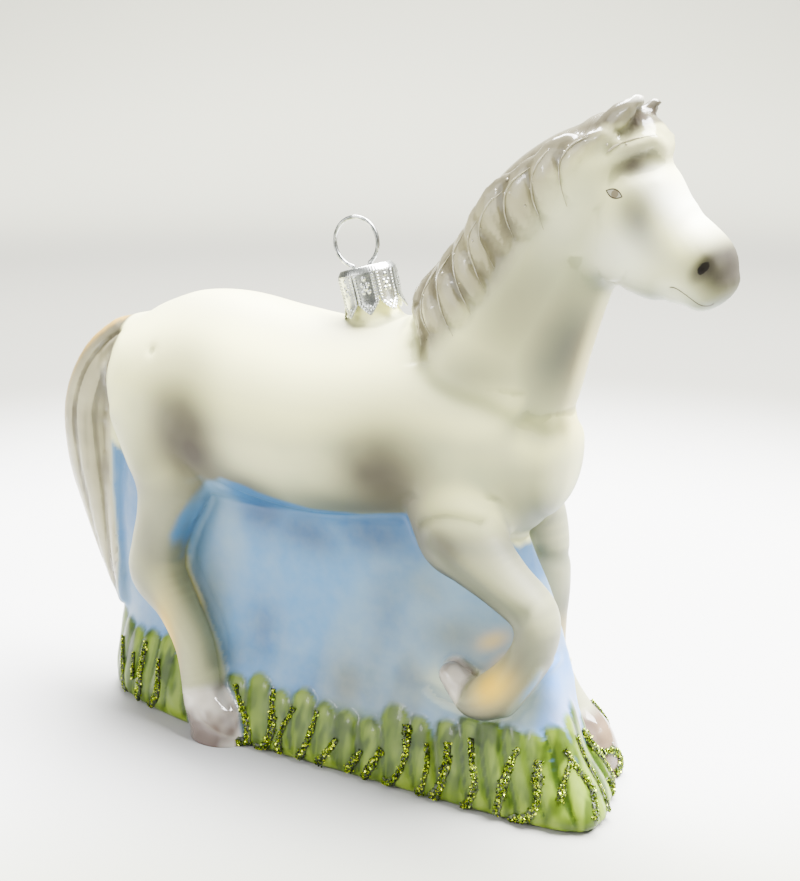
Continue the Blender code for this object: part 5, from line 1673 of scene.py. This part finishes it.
def painted_glass():
    """Frosted white glass with airbrushed colours, and glossy lacquer on hair, sky, grass and hooves."""
    paint = Finish("painted_glass")
    at = paint.place()
    x, y, z = paint.millimetres(at)
    field = {name: paint.field(name) for name in (
        "lit", "fold", "sky", "grass", "blade", "ear_tip", "hair", "glaze", "cream", "amber", "smoke",
        "muzzle", "hoof", "pooled", "pearl", "dim", "deep", "hazy")}
    cloud = paint.noise(at, 14.0, 2.0)
    # How hollow and how ridged the surface is, for painted shade in the hollows and painted highlights on the
    # ridges.
    hollow = field["fold"].step(0.52, 0.9)
    ridge = field["fold"].step(0.48, 0.15)

    colour = ivory_tone(paint, field, cloud, hollow)
    colour = paint.mix(field["hair"], colour, hair_tone(paint, at, y, field, hollow, ridge))
    # Grey airbrushed smoke, together with painted shade.
    colour = paint.mix(uneven(field["smoke"], cloud, 0.85, 0.3), colour, SMOKE_AND_SHADE)
    colour = paint.mix(field["cream"] * 0.8, colour, CREAM)
    colour = paint.mix(field["ear_tip"], colour, EAR_TIP)
    colour = paint.mix(field["hoof"], colour, hoof_tone(paint, at, y, z))
    sky_share = uneven(field["sky"], paint.noise(at, 3.0, 2.0), 0.90, 0.12)
    colour = paint.mix(sky_share, colour, sky_tone(paint, at, x, z, field, cloud))
    colour = paint.mix(uneven(field["amber"], cloud, 0.75, 0.5), colour, AMBER)
    colour = paint.mix(field["grass"], colour, grass_tone(paint, at, field, hollow, ridge))
    colour = paint_eye(paint, colour, x, z, abs(y))
    colour = paint_muzzle(paint, at, colour, x, z, abs(y))
    # Tiny bubbles and specks in the glass.
    spread, chance = paint.cells(at, 7.5)
    colour = paint.mix(spread.step(0.024, 0.016) * chance.step(0.72, 0.74) * 0.8, colour, SPECK)

    glaze, hoof, sky, grass = (field[name] for name in ("glaze", "hoof", "sky", "grass"))
    glossy = glaze.most(hoof).most(sky * 0.5).most(grass * 0.25)
    lacquer = (glaze * 0.4).most(hoof).most(sky * 0.08).most(grass * 0.06)
    roughness = 0.46 + 0.1 * (cloud - 0.5) - 0.26 * glossy + 0.25 * field["muzzle"]
    grain = paint.bump(paint.noise(at, 0.5, 2.0), 0.02, 0.3)
    waves = paint.bump(paint.noise(at, 2.6, 1.0) * (glaze + grass * 0.6), 0.35, 0.5, grain)
    dents = paint.bump(paint.noise(at, 3.6, 0.5) * hoof, 1.6, 0.8, waves)
    return paint.finish(Base_Color=colour, Roughness=roughness, Coat_Weight=lacquer, Coat_Roughness=0.05,
                        Normal=dents, IOR=1.45, Specular_IOR_Level=0.2)


def clear_lacquer():
    """Excess lacquer that dried in glossy runs and drops."""
    lacquer = Finish("clear_lacquer")
    tone = lacquer.noise(lacquer.place(), 1.6, 2.0)
    colour = lacquer.mix(tone.step(0.4, 0.65), LACQUER, HAIR)
    return lacquer.finish(Base_Color=colour, Roughness=0.10 + 0.1 * tone, Coat_Weight=1.0,
                          Coat_Roughness=0.03, Normal=lacquer.bump(tone, 0.2, 0.6))


def embossed_silver():
    """Thin pressed metal: bright, a little uneven, dulled in noisy smudges."""
    metal = Finish("embossed_silver")
    at = metal.place()
    smudge = metal.noise(at, 2.6, 3.0)
    colour = metal.mix(smudge.step(0.35, 0.75), SILVER_BRIGHT, SILVER_DULL)
    hammer = metal.bump(metal.noise(at, 0.9, 2.0), 0.05, 0.6)
    return metal.finish(Base_Color=colour, Metallic=1.0, Roughness=0.16 + 0.22 * smudge, Normal=hammer)


def drawn_wire():
    """Bright drawn steel wire with faint scratches."""
    metal = Finish("drawn_wire")
    at = metal.place()
    tone = metal.noise(at, 1.2, 3.0)
    colour = metal.mix(tone.step(0.3, 0.7), WIRE_DARK, WIRE_BRIGHT)
    return metal.finish(Base_Color=colour, Metallic=1.0, Roughness=0.18 + 0.14 * tone,
                        Normal=metal.bump(metal.noise(at, 0.35, 2.0), 0.015, 0.5))


def dark_glue():
    """Dark olive glue that the glitter sits in."""
    glue = Finish("dark_glue")
    tone = glue.noise(glue.place(), 0.5, 2.0)
    colour = glue.mix(tone.step(0.4, 0.65), GLUE_DARK, GLUE_GREEN)
    return glue.finish(Base_Color=colour, Roughness=0.35 + 0.2 * tone, Normal=glue.bump(tone, 0.2, 0.8))


def glitter_foil():
    """Green glitter foil: each flake has its own tone, from dark olive to bright yellow green."""
    foil = Finish("glitter_foil")
    tint = foil.field("tint")
    colour = foil.mix(tint.step(0.35, 0.6), FOIL_DARK, FOIL_GREEN)
    colour = foil.mix(tint.step(0.72, 0.9), colour, FOIL_YELLOW)
    roughness = 0.22 + 0.12 * foil.noise(foil.place(), 0.4, 1.0)
    return foil.finish(Base_Color=colour, Metallic=tint.step(0.1, 0.3), Roughness=roughness)


def studio_paper():
    """Pale paper with a painted shadow in front of the object and painted shade that darkens it further
    away, and pale again on the wall.
    """
    paper = Finish("studio_paper")
    x, y, _ = paper.millimetres(paper.place())
    away = (x ** 2 + y ** 2) ** 0.5
    ahead = x * math.sin(CAMERA_TURN) - y * math.cos(CAMERA_TURN)
    # Painted shadow in front of the object.
    colour = paper.mix(ahead.step(10.0, 75.0), PAPER, PAPER_SHADOW)
    # Painted shade further away, then pale again on the wall.
    colour = paper.mix(away.step(150.0, 350.0), colour, PAPER_FAR_SHADE)
    colour = paper.mix(away.step(700.0, 1300.0), colour, PAPER_WALL)
    return paper.finish(Base_Color=colour, Roughness=0.75)


# ---- studio --------------------------------------------------------------------------------------
def build_studio():
    """A pale sweep of paper: a floor that curves up into a wall behind."""
    turn = np.linspace(0, math.pi / 2, 16)[1:]
    foot = PAPER_RUNS[-1]
    run = np.concatenate((PAPER_RUNS, foot + PAPER_BEND * np.sin(turn), (foot + PAPER_BEND,)))
    rise = np.concatenate((np.zeros(len(PAPER_RUNS)), PAPER_BEND * (1 - np.cos(turn)), (PAPER_TOP,)))
    across = np.linspace(-PAPER_HALF_WIDTH, PAPER_HALF_WIDTH, 9)
    away = np.array((-math.sin(CAMERA_TURN), math.cos(CAMERA_TURN)))
    right = np.array((math.cos(CAMERA_TURN), math.sin(CAMERA_TURN)))
    plan = run[:, None, None] * away + across[None, :, None] * right
    grid = np.concatenate((plan, np.broadcast_to(rise[:, None, None], (*plan.shape[:2], 1))), -1)
    faces = grid_faces(len(run), len(across), wrap=False)[:, ::-1]
    mesh = bpy.data.meshes.new("studio_floor")
    mesh.from_pydata(grid.reshape(-1, 3).tolist(), [], faces.tolist())
    floor = bpy.data.objects.new("studio_floor", mesh)
    bpy.context.scene.collection.objects.link(floor)
    mesh.shade_smooth()
    mesh.materials.append(studio_paper())


def aim(thing, place, target):
    """Put a thing at a place, with its -Z towards the target."""
    thing.location = place
    thing.rotation_euler = (Vector(target) - Vector(place)).to_track_quat("-Z", "Y").to_euler()


def add_light(name, place, size, power, target=(0.0, 0.0, 0.06)):
    """A rectangular area light of some metres and watts that points at the target."""
    light = bpy.data.lights.new(name, "AREA")
    light.shape = "RECTANGLE"
    light.size, light.size_y = size
    light.energy = power
    lamp = bpy.data.objects.new(name, light)
    bpy.context.scene.collection.objects.link(lamp)
    aim(lamp, place, target)


def build_lights():
    """A pale room, a large light above and behind, and small fills in front and at the near side."""
    world = bpy.data.worlds.new("pale_room")
    bpy.context.scene.world = world
    world.use_nodes = True
    back = world.node_tree.nodes["Background"]
    back.inputs["Color"].default_value = (0.93, 0.96, 0.95, 1.0)
    back.inputs["Strength"].default_value = WORLD_STRENGTH
    add_light("top_softbox", (0.08, 0.30, 0.82), (1.4, 0.56), TOP_POWER)
    add_light("front_fill", (0.80, -0.45, 0.50), (0.5, 0.5), FILL_POWER)
    add_light("side_fill", (-0.45, -0.72, 0.42), (0.8, 0.8), SIDE_POWER)
    add_light("near_spark", (-0.28, -0.62, 0.42), (0.10, 0.10), SPARK_POWER)
    add_light("wall_wash", (0.10, 0.90, 1.0), (1.6, 0.3), WALL_POWER, target=(0.2, 1.8, 0.5))


def build_camera():
    """The camera stands round to the horse's right front and looks a little down at it."""
    camera = bpy.data.cameras.new("camera")
    camera.sensor_width = 36.0
    camera.sensor_fit = "AUTO"
    camera.lens = CAMERA_LENS
    camera.clip_start, camera.clip_end = 0.01, 20
    seat = bpy.data.objects.new("camera", camera)
    bpy.context.scene.collection.objects.link(seat)
    level = math.cos(CAMERA_RISE)
    back = Vector((math.sin(CAMERA_TURN) * level, -math.cos(CAMERA_TURN) * level, math.sin(CAMERA_RISE)))
    target = Vector(CAMERA_TARGET)
    aim(seat, target + back * CAMERA_DISTANCE, target)
    bpy.context.scene.camera = seat


# ---- putting it together ---------------------------------------------------------------------------
def dress(piece, material, slot, *nodes):
    """Give a piece its material and put it on the body, in place of some nodes where they are named."""
    piece.data.materials.clear()
    piece.data.materials.append(material)
    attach(piece, "root")
    if nodes:
        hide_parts(*nodes)


build_camera()
build_lights()
build_studio()

glass = build_glass()
dress(glass, painted_glass(), "frosted_white_glass", "head", "neck", "trunk", "leg_fore_left",
      "leg_fore_right", "leg_hind_left", "leg_hind_right", "glass_spout", "ear_left", "ear_right", "mane",
      "tail", "sky_panel", "grass_base")
cap = mesh_object("embossed_cap", cap_petals() + [cap_top()])
cap.data.shade_smooth()
dress(cap, embossed_silver(), "silver_cap", "metal_cap")
dress(build_hanger(), drawn_wire(), "steel_wire", "wire_hanger")
tree = skin_tree(glass)
strokes = glue_lines(tree)
dress(build_runs(tree), clear_lacquer(), "frosted_white_glass")
dress(build_glue(strokes), dark_glue(), "grass_green_glass")
dress(build_flakes(strokes), glitter_foil(), "grass_green_glass")
